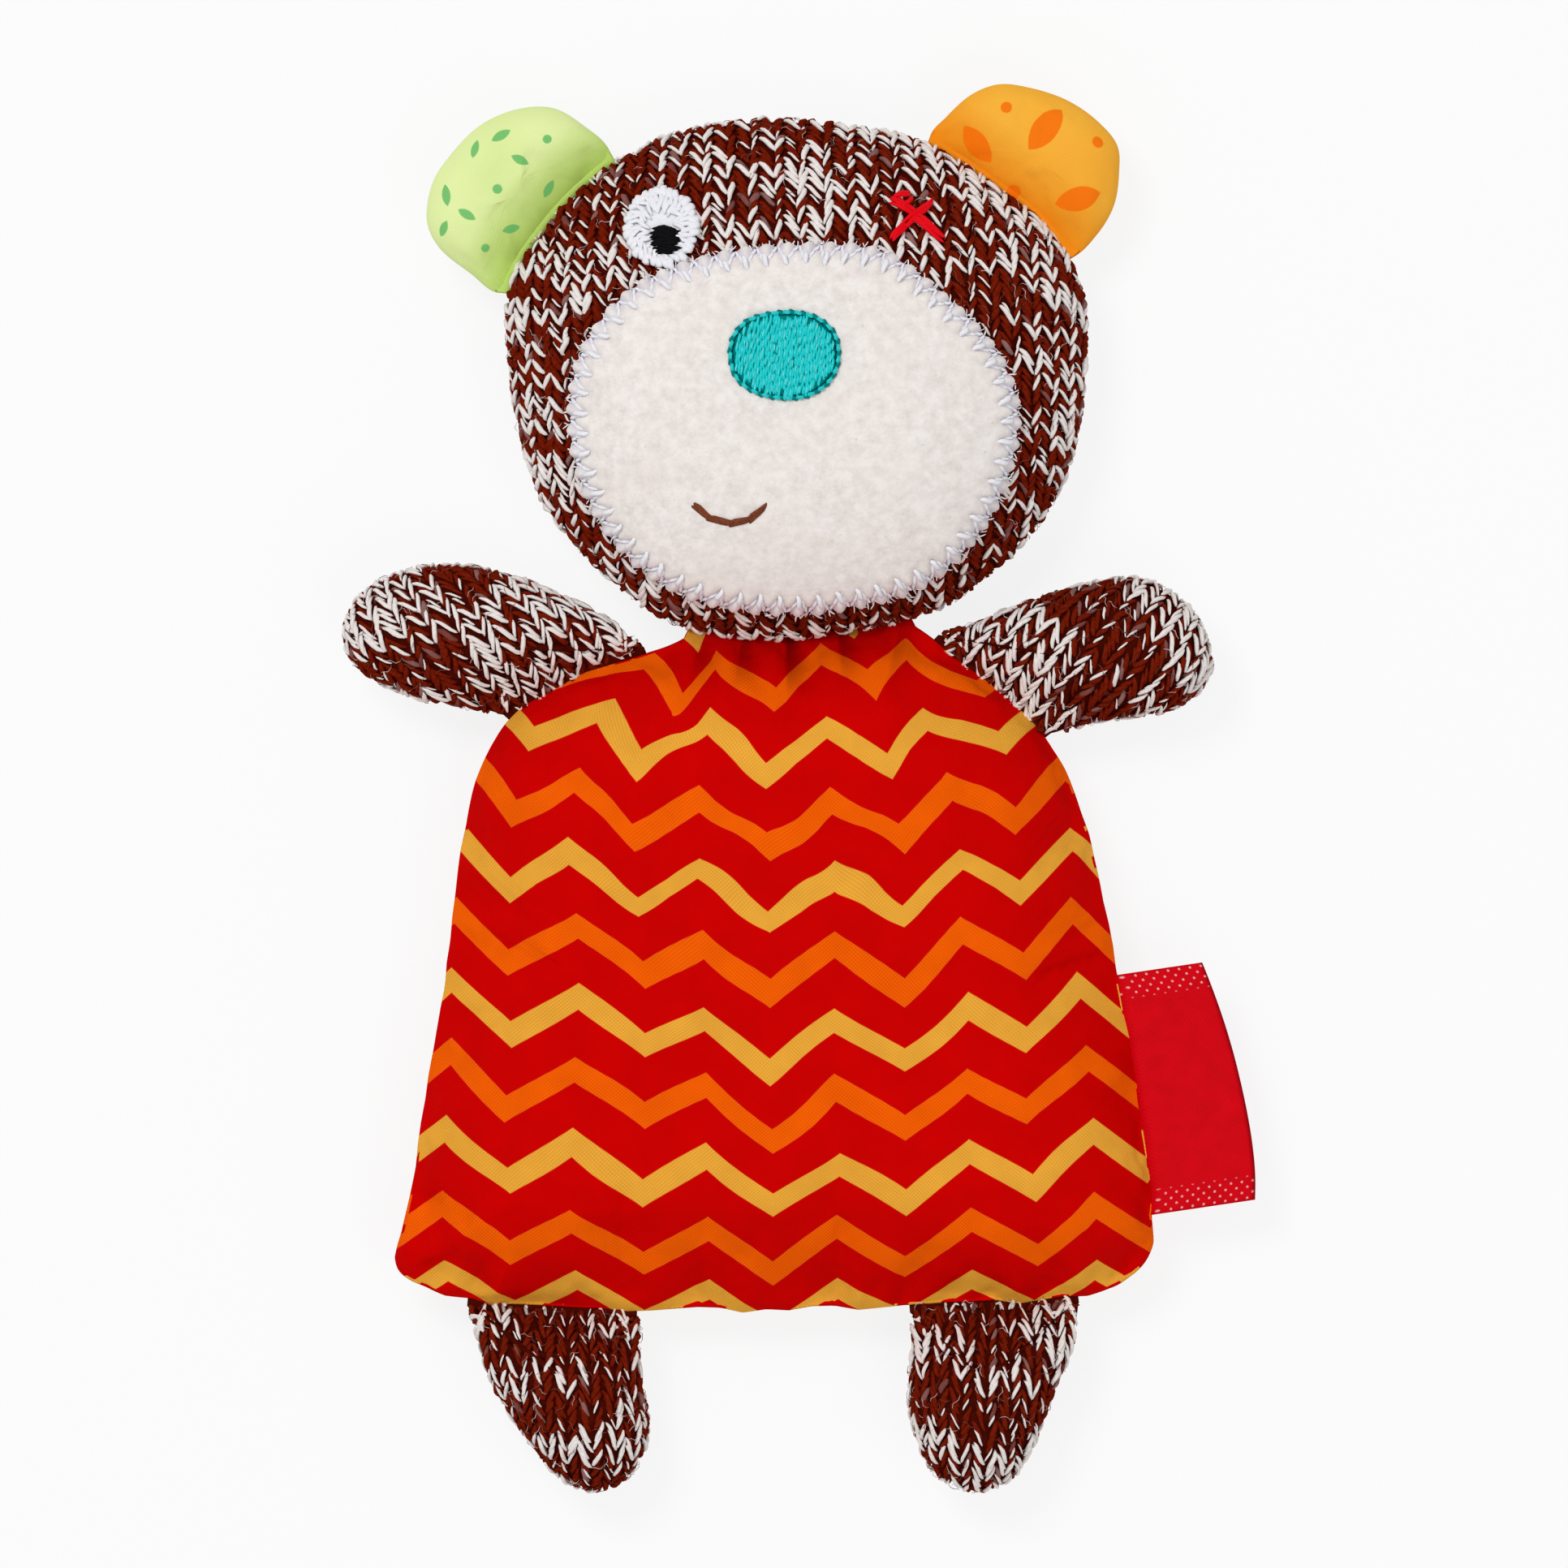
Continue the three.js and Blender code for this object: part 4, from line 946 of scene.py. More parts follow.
def knit_strands(flat_rim, keep_out, corners, column_axis, slants, bands, draw):
    """Flat places, turns, sizes and plies of the strands of a panel's stitches."""
    leg_tilt, lean, fine = slants
    up = heading(column_axis)
    across = np.array([up[1], -up[0]])
    middle = (flat_rim.min(0) + flat_rim.max(0)) / 2
    span = np.ptp(flat_rim, axis=0).max() * 0.75
    columns = np.arange(-math.ceil(span / COLUMN_PITCH), math.ceil(span / COLUMN_PITCH) + 1)
    rows = np.arange(-math.ceil(span / ROW_PITCH), math.ceil(span / ROW_PITCH) + 1)
    column, row = (grid.ravel() for grid in np.meshgrid(columns, rows))
    places, turns, sizes, plies = [], [], [], []
    for side in (-1, 1):
        drift = draw.normal(0, STITCH_DRIFT, (len(column), 2))
        leg = (middle + np.outer((column + side * LEG_REACH) * COLUMN_PITCH, across)
               + np.outer(row * ROW_PITCH, up) + drift)
        whiteness = bands(leg, up, across)
        tilt = math.radians(column_axis - 90) - side * math.radians(leg_tilt) + math.radians(lean)
        for ply in (-1, 1):
            chance = whiteness if ply < 0 else whiteness * SECOND_PLY_SHARE
            white = draw.random(len(leg)) < chance
            sliver = ~white & (draw.random(len(leg)) < SLIVER_CHANCES[ply])
            wide = PLY_WIDTH * fine * (0.75 + 0.45 * draw.random(len(leg)))
            wide = np.where(sliver, wide * SLIVER_WIDTH, np.where(white, wide, wide * BROWN_WIDTH))
            long = (np.where(white, WHITE_LENGTH, BROWN_LENGTH) - LEG_DIFFERENCE * side
                    + LENGTH_SPREAD * draw.normal(0, 1, len(leg)))
            long = np.where(sliver, long * (0.55 + 0.3 * draw.random(len(leg))), long)
            aside = across * ply * PLY_ASIDE * side
            along = up * ply * PLY_STEP
            lift = (np.where(white | sliver, WHITE_LIFT, BROWN_LIFT)
                    + LIFT_SPREAD * draw.random(len(leg)))
            mixed = draw.random(len(leg)) < MIXED_CHANCE
            mixed = np.where(mixed, 0.05 + 0.12 * draw.random(len(leg)), 0)
            places.append(np.column_stack([leg + aside + along, lift]))
            turns.append(np.full(len(leg), tilt))
            sizes.append(np.column_stack([wide, long, wide * 0.95]))
            plies.append(np.where(white | sliver, 1.0, mixed))
    places, turns, sizes, plies = map(np.concatenate, (places, turns, sizes, plies))
    inside = on_flat(flat_rim, keep_out, corners, places[:, :2])
    return places[inside], turns[inside], sizes[inside], plies[inside]


def corner_strands(corners, middle):
    """Short strands that fill the sharp corners where a limb's seam meets the body."""
    places, turns, sizes, plies = [], [], [], []
    for corner in corners:
        inwards = (middle - corner) / np.linalg.norm(middle - corner)
        across = np.array([inwards[1], -inwards[0]])
        turn = math.atan2(inwards[1], inwards[0]) - math.pi / 2
        for number, (step, shift) in enumerate(CORNER_PLACES):
            place = corner + inwards * step + across * shift
            places.append((*place, 0.12 + 0.08 * (number % 2)))
            turns.append(turn + (0.5 if number % 2 else -0.4))
            sizes.append((0.5, 1.5, 0.5))
            plies.append(1.0 if number in (1, 6) else 0.0)
    return tuple(map(np.array, (places, turns, sizes, plies)))


def row_stretches(share, seed, stretch=12.0, height=3.4):
    """White stretches of rows: a smooth random field, long across and short along the columns."""
    field = np.random.default_rng(seed).random((FIELD_SIZE, FIELD_SIZE))

    def value(i, j):
        return field[i % FIELD_SIZE, j % FIELD_SIZE]

    def whiteness(places, up, across):
        x = (places @ across) / stretch + FIELD_SIZE / 2
        y = (places @ up) / height + FIELD_SIZE / 2
        i, j = np.floor(x).astype(int), np.floor(y).astype(int)
        u, v = x - i, y - j
        u, v = u * u * (3 - 2 * u), v * v * (3 - 2 * v)
        low = value(i, j) * (1 - u) + value(i + 1, j) * u
        high = value(i, j + 1) * (1 - u) + value(i + 1, j + 1) * u
        level = low * (1 - v) + high * v
        above = level - np.quantile(level, 1 - share)
        return np.clip(0.5 + above * FIELD_CONTRAST, *FIELD_RANGE)
    return whiteness


# %% Panels of knit
GROUND_WALL = 0.7
GROUND_RINGS, GROUND_STEPS, NET_RINGS = 14, 360, 20
STITCH_TUCK = 1.6
ROOT_REACH = 0.4
STITCH_REACH = 0.15
THIN_REACH = 1.3
ROOT_SINK = 0.5
SINK_REACH = 0.6


def lay(name, carrier, shape, strands, wobble, seed, material):
    """Strands or hairs, laid on a carrier's cloth map and turned into one mesh. One that the
    map's border has stretched is taken away."""
    places, turns, sizes, plies = strands
    net = point_object(name, places, turn=turns, size=sizes * MM, ply=plies)
    run_tree(net, lay_strands, Surface=carrier, Strand=shape, Span=CLOTH_SPAN * MM,
             Wobble=math.radians(wobble), Seed=seed, Smooth=shape is not hair,
             Material=material)
    each = len(shape.data.vertices)
    spots = np.zeros(3 * len(net.data.vertices))
    net.data.vertices.foreach_get("co", spots)
    spots = spots.reshape(-1, each, 3)
    stretched = np.ptp(spots, axis=1).max(axis=1) > 1.5 * sizes[:, 1] * MM
    if stretched.any():
        mesh = bmesh.new()
        mesh.from_mesh(net.data)
        mesh.verts.ensure_lookup_table()
        loose = [mesh.verts[n * each + k] for n in np.flatnonzero(stretched) for k in range(each)]
        bmesh.ops.delete(mesh, geom=loose, context="VERTS")
        mesh.to_mesh(net.data)
        mesh.free()
    return net


def stray_hairs(flat_rim, keep_out, corners, draw, share_white=0.45):
    low, high = flat_rim.min(0), flat_rim.max(0)
    count = int(np.prod(high - low) * HAIRS_PER_AREA)
    places = low + draw.random((count, 2)) * (high - low)
    places = places[on_flat(flat_rim, keep_out, corners, places)]
    long = 1.1 + 0.9 * draw.random(len(places))
    plies = (draw.random(len(places)) < share_white).astype(float)
    return (np.column_stack([places, np.full(len(places), 0.35)]),
            2 * math.pi * draw.random(len(places)), np.column_stack([long] * 3), plies)


def knit_panel(name, pillow, side, column_axis, bands, seed, keep_out=None, slants=HEAD_SLANTS):
    """A dark ground with the stitches and stray hairs laid on it. Near a limb's root the stitches
    sink, so that their ends stay under the body's cloth."""
    points, flat, faces = panel_net(pillow, side, GROUND_INSET, GROUND_RINGS, GROUND_STEPS)
    corners, full = [], None
    if "root" in pillow:
        full = distance_to(pillow["root"], points[:, :2]) > THIN_REACH
        reach_under(points, body_outline, ROOT_REACH, GROUND_STEPS)
        ends = pillow["rim"][[0, -1]]
        corners = [flat[np.argmin(np.linalg.norm(points[:, :2] - end, axis=1))] for end in ends]
    ground = mesh_object(name, points, faces, KNIT_GROUND, flat)
    net_points, net_flat, net_faces = panel_net(pillow, side, GROUND_INSET, NET_RINGS,
                                                tuck=STITCH_TUCK)
    if "root" in pillow:
        edge_points = (TUCK_LOOPS + 1) * len(pillow["outline"])
        reach_under(net_points, body_outline, STITCH_REACH, edge_points, net_flat)
    carrier = mesh_object(name + "_carrier", net_points, net_faces, None, net_flat)
    flat_rim = net_flat[:len(pillow["outline"])]
    draw = np.random.default_rng(seed)
    strands = knit_strands(flat_rim, keep_out, corners, column_axis, slants, bands, draw)
    if corners:
        at_root = distance_to(pillow["root"], pillow["outline"]) < CLEARANCE
        at_root[0] = False
        from_root = distance_to(flat_rim[at_root], strands[0][:, :2])
        sunk = np.exp(-(np.maximum(from_root - RIM_MARGIN, 0) / SINK_REACH) ** 2)
        strands[0][:, 2] -= ROOT_SINK * sunk
        extra = corner_strands(corners, flat.mean(axis=0))
        strands = tuple(np.concatenate(pair) for pair in zip(strands, extra))
    net = lay(name + "_stitches", carrier, strand, strands, 7, seed, MARLED_YARN)
    hairs = stray_hairs(flat_rim, keep_out, corners, draw)
    fuzz = lay(name + "_fuzz", carrier, hair, hairs, 0, seed, YARN_FUZZ)
    bpy.data.objects.remove(carrier)
    give_thickness(ground, GROUND_WALL, full)
    join(ground, net, fuzz)
    print(name, "strands:", len(strands[0]), "faces:", len(ground.data.polygons))
    return ground


def join(piece, *others):
    """Joins other pieces' meshes into a piece."""
    bpy.ops.object.select_all(action="DESELECT")
    for other in others:
        other.select_set(True)
    piece.select_set(True)
    bpy.context.view_layer.objects.active = piece
    bpy.ops.object.join()


def sew_in(piece, body_name, slot, *nodes, fill=None):
    """Gives a finished piece its body and hides the nodes that it stands for. The slot is not used.
    """
    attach(piece, body_name)
    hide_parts(*nodes)


# %% [markdown]
# ## Muzzle, eyes and other pieces that lie on the face
# What is sewn on the face follows the head's swell, so each point is lifted square to it.

# %% Places on the face
CHEEK_MARGIN, CHIN_MARGIN, BROW_MARGIN, MUZZLE_SHIFT = 7.65, 3.15, 14.65, -0.4


def on_face(points, lift):
    step = 0.4
    points = np.atleast_2d(points)
    level = [level_at(head, points + shift, 1) for shift in
             ((step, 0), (-step, 0), (0, step), (0, -step), (0, 0))]
    slope_x = (level[0] - level[1]) / (2 * step)
    slope_y = (level[2] - level[3]) / (2 * step)
    normal = unit(np.column_stack([-slope_x, -slope_y, np.ones(len(points))]))
    lift = np.broadcast_to(lift, len(points))[:, None]
    return np.column_stack([points, level[4]]) + normal * lift


muzzle_width = HEAD_WIDTH - 2 * CHEEK_MARGIN
muzzle_length = HEAD_LENGTH - CHIN_MARGIN - BROW_MARGIN
muzzle_middle = head_middle + (MUZZLE_SHIFT, (CHIN_MARGIN - BROW_MARGIN) / 2)
on_muzzle = shares_of(muzzle_middle, muzzle_width, muzzle_length)
muzzle_outline = smooth_outline(on_muzzle(MUZZLE_SHAPE))

# %% [markdown]
# ## Head and limbs in knit
# The columns of stitches run straight down the head. The arms were cut on the slant, so there
# they run 40 to 50 degrees off the arm. Each white stretch of the head's rows goes from one place
# on the photograph to another, in pixels, and fades at its half width.

# %% White stretches of the head's rows
WHITE_ROWS = [
    ((835, 212), (1060, 232), 11), ((1030, 165), (1110, 172), 9), ((1110, 178), (1215, 232), 11),
    ((860, 262), (905, 300), 14), ((905, 285), (1010, 292), 15), ((1010, 270), (1085, 290), 10),
    ((1105, 315), (1290, 330), 12), ((1185, 245), (1330, 300), 11), ((1265, 350), (1335, 395), 12),
    ((1255, 445), (1305, 470), 13), ((640, 330), (760, 345), 14), ((635, 385), (700, 400), 15),
    ((650, 455), (695, 465), 9), ((660, 560), (720, 610), 16), ((640, 505), (665, 530), 9),
    ((1300, 500), (1322, 560), 8), ((850, 182), (880, 196), 8), ((850, 775), (960, 783), 5),
    ((1240, 610), (1300, 640), 7), ((760, 700), (800, 735), 7),
]
DARK_ROW = ((975, 776), (1150, 742), 15)
PLAIN_WHITENESS, WHITE_GAIN, WHITE_RANGE, DARK_ROW_STRENGTH = 0.1, 1.9, (0.26, 0.97), 0.75


def photographed_rows(pillow):
    """Whiteness by place: 1 along the white stretches that the photograph shows."""
    points, flat, _ = panel_net(pillow, 1, GROUND_INSET, NET_RINGS)
    tree = search_tree(np.column_stack([flat, np.zeros(len(flat))]))

    def nearness(row, plan):
        start, end, half = row
        gap = distance_to(np.array([at_pixel(*start), at_pixel(*end)]), plan)
        return np.exp(-(gap / (half * PIXEL)) ** 2)

    def whiteness(places, up, across):
        plan = points[[tree.find((x, y, 0))[1] for x, y in places], :2]
        level = np.full(len(places), PLAIN_WHITENESS)
        for row in WHITE_ROWS:
            level = np.maximum(level, nearness(row, plan))
        level = np.clip(level * WHITE_GAIN, *WHITE_RANGE)
        return level * (1 - DARK_ROW_STRENGTH * nearness(DARK_ROW, plan))
    return whiteness


# %% Knit panels of the head
head_front = knit_panel("head_front_panel_knit", head, 1, 90, photographed_rows(head), 3,
                        keep_out=offset_outline(muzzle_outline, -2.5))
sew_in(head_front, "head", "marled_knit", "head_front_panel", fill=0.7)
head_back = knit_panel("head_back_panel_knit", head, -1, 90, row_stretches(0.45, 5), 4)
sew_in(head_back, "head", "marled_knit", "head_back_panel", fill=0.7)

# %% Knit panels of the limbs
KNIT_AXIS = {"left_arm": 118, "right_arm": 52, "left_leg": 91, "right_leg": 88}
LIMB_SLANTS = {"arm": (26, 12, 0.88), "leg": (22, 5, 0.85)}
WHITE_SHARES = {"left_arm": 0.66, "right_arm": 0.54, "left_leg": 0.43, "right_leg": 0.51}
for number, (name, axis) in enumerate(KNIT_AXIS.items()):
    for side, word in ((1, "front"), (-1, "back")):
        bands = row_stretches(WHITE_SHARES[name], 30 + 2 * number + (side < 0), 9.0, 3.8)
        panel = knit_panel(f"{name}_{word}_panel_knit", pillows[name], side, axis, bands,
                           20 + 2 * number + (side < 0), slants=LIMB_SLANTS[name[-3:]])
        sew_in(panel, name, "marled_knit", f"{name}_{word}_panel", fill=0.7)

# %% [markdown]
# ## The printed body
# The bag of printed cotton is two panels. A cloth simulation blows the bag up a little from
# inside, with the seam held, as the fibre filling does. At the neck the cloth is then gathered:
# each pleat is a narrow valley, and a painted shade darkens the print along it; a painted shadow
# of the head lies along the neck seam. Along the seam the cloth puckers. A pleat has its start
# and end on the photograph, its depth and width in millimetres, and the length and darkness of
# its painted shade.

# %% Pleats
PLEATS = [
    ((868, 780), (840, 890), 2.2, 0.9, 7, 0.5), ((828, 784), (812, 880), 1.0, 1.2, 6, 0.25),
    ((916, 784), (908, 850), 2.0, 0.6, 6, 0.9), ((969, 780), (973, 852), 3.2, 0.7, 8, 1.2),
    ((1012, 790), (1004, 880), 1.0, 1.0, 6, 0.2), ((1033, 778), (1045, 860), 2.0, 0.7, 6, 1.0),
    ((1108, 780), (1082, 905), 2.2, 1.3, 9, 0.45),
]
# How far the painted shade of a pleat reaches to its left and to its right, in millimetres.
SHADE_SIDES = (0.35, 2.0)
# Painted shadow of the head: how dark it is on the body at the neck seam and how far it reaches.
NECK_SHADE, NECK_SHADE_REACH = 0.45, 1.5
GENTLE_SIDE = 2.4
PLEAT_SPREAD, PLEAT_TOP, PLEAT_FADE = 0.8, 1.1, 1.3
PUCKER_LENGTH = 5.2
PUCKER_REACH = 4.5
HEM_PUCKER, SIDE_PUCKER = 0.34, 0.12
HEM_START, HEM_REACH = 24, 8
PUCKER_HEIGHT = 2.2
DENT_SHARE, DENT_START = 0.75, 0.4
HELD_REACH = 1.2
FLOOR_GAP = 0.02


def pleat_depths(points):
    """How deep the pleats dent each point, steep on their left and gentle on their right, and
    how much painted shade lies in them and, as the head's painted shadow, along the neck seam."""
    depth, shade = np.zeros(len(points)), np.zeros(len(points))
    for start, end, deep, wide, shade_length, dark in PLEATS:
        start, end = at_pixel(*start), at_pixel(*end)
        length = np.linalg.norm(end - start)
        down = (end - start) / length
        along = (points - start) @ down / length
        aside = (points - start) @ np.array([-down[1], down[0]])
        width = wide * (1 + PLEAT_SPREAD * np.clip(along, 0, 1))
        width *= np.where(aside > 0, GENTLE_SIDE, 1)
        dent = np.clip(1 - along, 0, PLEAT_TOP) ** PLEAT_FADE * np.exp(-(aside / width) ** 2)
        depth += deep * dent
        side = np.exp(-(aside / np.where(aside > 0, SHADE_SIDES[1], SHADE_SIDES[0])) ** 2)
        # Painted shade in each pleat, sharp on its left and fading to its right.
        shade = np.maximum(shade, dark * side * np.clip(1 - along * length / shade_length, 0, 1))
    # Painted shadow of the head along the neck seam.
    from_neck = distance_to(body_neck, points)
    return depth, np.maximum(shade, NECK_SHADE * np.exp(-(from_neck / NECK_SHADE_REACH) ** 2))


# %% [markdown]
# The print's corners were read off the photograph, row by row. A row has its level, in periods of
# the stripes, and the number of its first corner: even ones are peaks, odd ones are valleys. The
# first list has the tips of peaks and valleys, the second one the corners opposite them.

# %% Where the print lies
PRINT_ROWS = [
    (3, -3, [(870, 806)]),
    (3, -1, [(957, 784)]),
    (3, 1, [(1050, 788)]),
    (2.5, -4, [(805, 802), (836, 890), (875, 803), (955, 877), (1012, 792), (1078, 861),
               (1116, 786)]),
    (2, -5, [(654, 928), (758, 861), (786, 960), (874, 873), (944, 969), (1017, 879), (1098, 961),
             (1137, 869), (1238, 935)]),
    (1.5, -5, [(634, 1020), (717, 942), (785, 1049), (861, 968), (949, 1063), (1021, 969),
               (1114, 1051), (1165, 955), (1252, 1026)]),
    (1, -5, [(630, 1111), (704, 1033), (789, 1130), (861, 1058), (949, 1152), (1028, 1061),
             (1112, 1141), (1182, 1043), (1255, 1116), (1318, 1018)]),
    (0.5, -5, [(629, 1201), (707, 1121), (795, 1213), (865, 1143), (949, 1241), (1028, 1151),
               (1114, 1228), (1181, 1128), (1263, 1205), (1318, 1105)]),
    (0, -6, [(559, 1190), (633, 1290), (710, 1208), (795, 1301), (868, 1228), (949, 1328),
             (1029, 1238), (1115, 1317), (1188, 1221), (1264, 1294), (1326, 1195)]),
    (-0.5, -5, [(627, 1381), (708, 1299), (795, 1391), (871, 1315), (951, 1415), (1029, 1327),
                (1115, 1408), (1189, 1309), (1269, 1384), (1336, 1284)]),
    (-1, -6, [(554, 1371), (630, 1472), (707, 1389), (792, 1483), (870, 1402), (951, 1499),
              (1033, 1416), (1117, 1495), (1192, 1399), (1273, 1473), (1344, 1375)]),
    (-1.5, -6, [(549, 1465), (632, 1559), (704, 1481), (793, 1567), (873, 1489), (954, 1579),
                (1031, 1493), (1116, 1571), (1195, 1488), (1277, 1560), (1350, 1465)]),
]
INNER_ROWS = [
    (2.5, -2, [(880, 827), (957, 847), (1010, 822), (1070, 828), (1116, 818)]),
    (2, -5, [(661, 897), (737, 890), (792, 927), (870, 910), (945, 936), (1017, 912), (1092, 930),
             (1143, 900), (1229, 903)]),
    (1.5, -5, [(639, 986), (709, 975), (781, 1015), (861, 1000), (945, 1026), (1024, 1002),
               (1107, 1019), (1172, 984), (1249, 994)]),
    (1, -5, [(629, 1079), (703, 1066), (786, 1101), (860, 1088), (946, 1120), (1029, 1095),
             (1110, 1109), (1182, 1074), (1254, 1085), (1319, 1050)]),
]
HIDDEN_PEAK = (2.78, 2, [(1108, 771)])
PRINT_EASE = 2.0
BACK_SAG = 0.0028


def plate_pull(gaps):
    """The thin plate function of the distances between places."""
    return gaps ** 2 * np.log(np.maximum(gaps, 1e-6))


def fit_print(points, flat):
    """Slides the print on the front so that its corners lie where the photograph has them.
    The hidden peak is a guess that keeps one yellow corner out of sight under the chin."""
    places, targets = {}, {}
    for rows, is_inner in ((PRINT_ROWS, False), ([*INNER_ROWS, HIDDEN_PEAK], True)):
        for level, first, pixels in rows:
            for number, pixel in enumerate(pixels, first):
                at_valley = number % 2
                at_low_edge = at_valley != is_inner
                places[level, number, is_inner] = at_pixel(*pixel)
                targets[level, number, is_inner] = np.array([
                    ZIGZAG_PEAK + number * ZIGZAG_PERIOD / 2,
                    STRIPE_LEVEL + (level - at_low_edge * STRIPE_SHARE) * STRIPE_PERIOD
                    - at_valley * ZIGZAG_RISE])
    marks, wanted = list(places.values()), list(targets.values())
    for level, number, is_inner in places:
        for beside in ((level, number - 1, False), (level, number + 1, False)):
            if is_inner and beside in places:
                marks.append((places[level, number, True] + places[beside]) / 2)
                wanted.append((targets[level, number, True] + targets[beside]) / 2)
    marks, wanted = np.array(marks), np.array(wanted)
    gaps = np.linalg.norm(points[:, None, :2] - marks[None], axis=2)
    slides = wanted - flat[gaps.argmin(axis=0)]
    between = np.linalg.norm(marks[:, None] - marks[None], axis=2)
    plane = np.column_stack([np.ones(len(marks)), marks])
    system = np.block([[plate_pull(between) + PRINT_EASE * np.eye(len(marks)), plane],
                       [plane.T, np.zeros((3, 3))]])
    weights = np.linalg.solve(system, np.vstack([slides, np.zeros((3, 2))]))
    everywhere = np.column_stack([plate_pull(gaps), np.ones(len(points)), points[:, :2]])
    print("largest slide of the print in millimetres:", round(float(abs(slides).max()), 1))
    return flat + everywhere @ weights


# %% Puckers
def smooth_steps(count, seed):
    """Random heights between -1 and 1 that run smoothly round a closed outline."""
    heights = np.random.default_rng(seed).uniform(-1, 1, count)
    return lambda share: np.interp(share % 1, np.arange(count + 1) / count,
                                   np.append(heights, heights[0]))


def gather(pillow, points, count, side, seed):
    """Pleats at the neck and puckers along the seam, on one panel of count points a ring."""
    depth, shade = pleat_depths(points[:, :2])
    depth = np.minimum(depth, DENT_SHARE * np.maximum(points[:, 2] - SEAM_HEIGHT + DENT_START, 0))
    seam_length = lengths_along(closed(pillow["outline"]))[-1]
    pucker = smooth_steps(int(seam_length / PUCKER_LENGTH * 2), seed)
    ring_size = (len(points) // count) * count
    share = np.tile(np.arange(count) / count, len(points) // count)
    wave = np.zeros(len(points))
    wave[:ring_size] = pucker(share)
    from_seam = distance_to(pillow["rim"], points[:, :2])
    at_hem = np.clip((-points[:, 1] - HEM_START) / HEM_REACH, 0, 1)
    strength = SIDE_PUCKER + (HEM_PUCKER - SIDE_PUCKER) * at_hem
    near = np.exp(-(from_seam / PUCKER_REACH) ** 2)
    free = np.clip(from_seam / HELD_REACH, 0, 1)
    points[:, 2] -= side * depth * free
    points[:, 2] += side * wave * strength * near * free * PUCKER_HEIGHT
    points[:, :2] += unit(points[:, :2]) * (wave * strength * near)[:, None]
    points[:, 2] = np.maximum(points[:, 2], FLOOR_GAP)
    return points, shade * (side > 0)


# %% Cloth simulation
SIM_SCALE = 10.0
SIM_FRAMES = 20
SIM_GROWTH = 0.03
NEIGHBOURS, NEIGHBOUR_GAP, SETTLE_REACH = 5, 0.15, 2


def blown_up(pillow, rings, steps, cap):
    """Simulates both panels as one closed bag and gives how far each coarse point moved, at
    most as far as the cap."""
    front, _, front_faces = panel_net(pillow, 1, rings=rings, steps=steps)
    back, _, back_faces = panel_net(pillow, -1, rings=rings, steps=steps)
    shift = len(front) - steps
    points = np.vstack([front, back[steps:]])
    faces = front_faces + [tuple(c if c < steps else c + shift for c in face)
                           for face in back_faces]
    bag = mesh_object("simulated_bag", points * SIM_SCALE, faces)
    seam = bag.vertex_groups.new(name="seam")
    seam.add(list(range(steps)), 1.0, "REPLACE")
    cloth = bag.modifiers.new("cloth", "CLOTH")
    settings = cloth.settings
    settings.quality = 6
    settings.mass = 0.3
    settings.bending_stiffness = 0.05
    settings.use_pressure = True
    settings.uniform_pressure_force = 1.2
    settings.vertex_group_mass = "seam"
    settings.shrink_min = -SIM_GROWTH
    settings.effector_weights.gravity = 0
    cloth.point_cache.frame_start, cloth.point_cache.frame_end = 1, SIM_FRAMES
    for frame_number in range(1, SIM_FRAMES + 1):
        bpy.context.scene.frame_set(frame_number)
        bag.evaluated_get(bpy.context.evaluated_depsgraph_get())
    apply_modifiers(bag)
    moved = np.zeros(3 * len(points))
    bag.data.vertices.foreach_get("co", moved)
    moved = moved.reshape(-1, 3) / (SIM_SCALE * MM) - points
    bpy.data.objects.remove(bag)
    bpy.context.scene.frame_set(1)
    length = np.linalg.norm(moved, axis=1)[:, None]
    print("simulated bag, largest move in millimetres:", round(float(length.max()), 2))
    moved *= np.minimum(1, cap / np.maximum(length, 1e-9))
    return search_tree(points), moved


def settle(points, simulated, pillow):
    """Moves fine points as the coarse simulated ones round them moved, but not the seam."""
    tree, moved = simulated
    shifts = np.zeros_like(points)
    for index, point in enumerate(points):
        near = tree.find_n(point, NEIGHBOURS)
        weights = np.array([1 / (gap + NEIGHBOUR_GAP) ** 2 for _, _, gap in near])
        shifts[index] = weights @ moved[[number for _, number, _ in near]] / weights.sum()
    from_seam = distance_to(closed(pillow["outline"]), points[:, :2])
    points = points + shifts * np.clip(from_seam / SETTLE_REACH, 0, 1)[:, None]
    points[:, 2] = np.maximum(points[:, 2], FLOOR_GAP)
    return points


# %% [markdown]
# The print keeps its place in plan while the cloth swells and gathers. At the neck both panels
# reach under the head. There they are thin, and the back panel lies a little lower than the front
# one, so that its print doesn't show through.

# %% Body panels
NECK_REACH = 0.9
NECK_DROP = 0.6
BODY_WALL = 0.4
simulated_body = blown_up(body, 12, 150, 0.9)
for side, word, rings, steps in ((1, "front", 36, 900), (-1, "back", 26, 480)):
    points, flat, faces = panel_net(body, side, rings=rings, steps=steps)
    plan = points[:, :2].copy()
    if simulated_body:
        points = settle(points, simulated_body, body)
    points, shade = gather(body, points, steps, side, 11)
    flat += points[:, :2] - plan
    if side > 0:
        flat = fit_print(points, flat)
    else:
        flat[:, 1] -= BACK_SAG * flat[:, 0] ** 2
    at_neck = distance_to(body_neck, points[:, :2]) < THIN_REACH
    reach_under(points, head_outline, NECK_REACH, steps)
    if side < 0:
        points[at_neck, 2] -= NECK_DROP
    panel = mesh_object(f"body_{word}_panel_cloth", points, faces, CHEVRON_CLOTH, flat)
    # The painted shade of the pleats and of the head along the neck.
    give_attribute(panel, "painted_crease_shade", shade)
    give_thickness(panel, BODY_WALL, ~at_neck)
    sew_in(panel, "torso", "chevron_cloth", f"body_{word}_panel", fill=0.6)
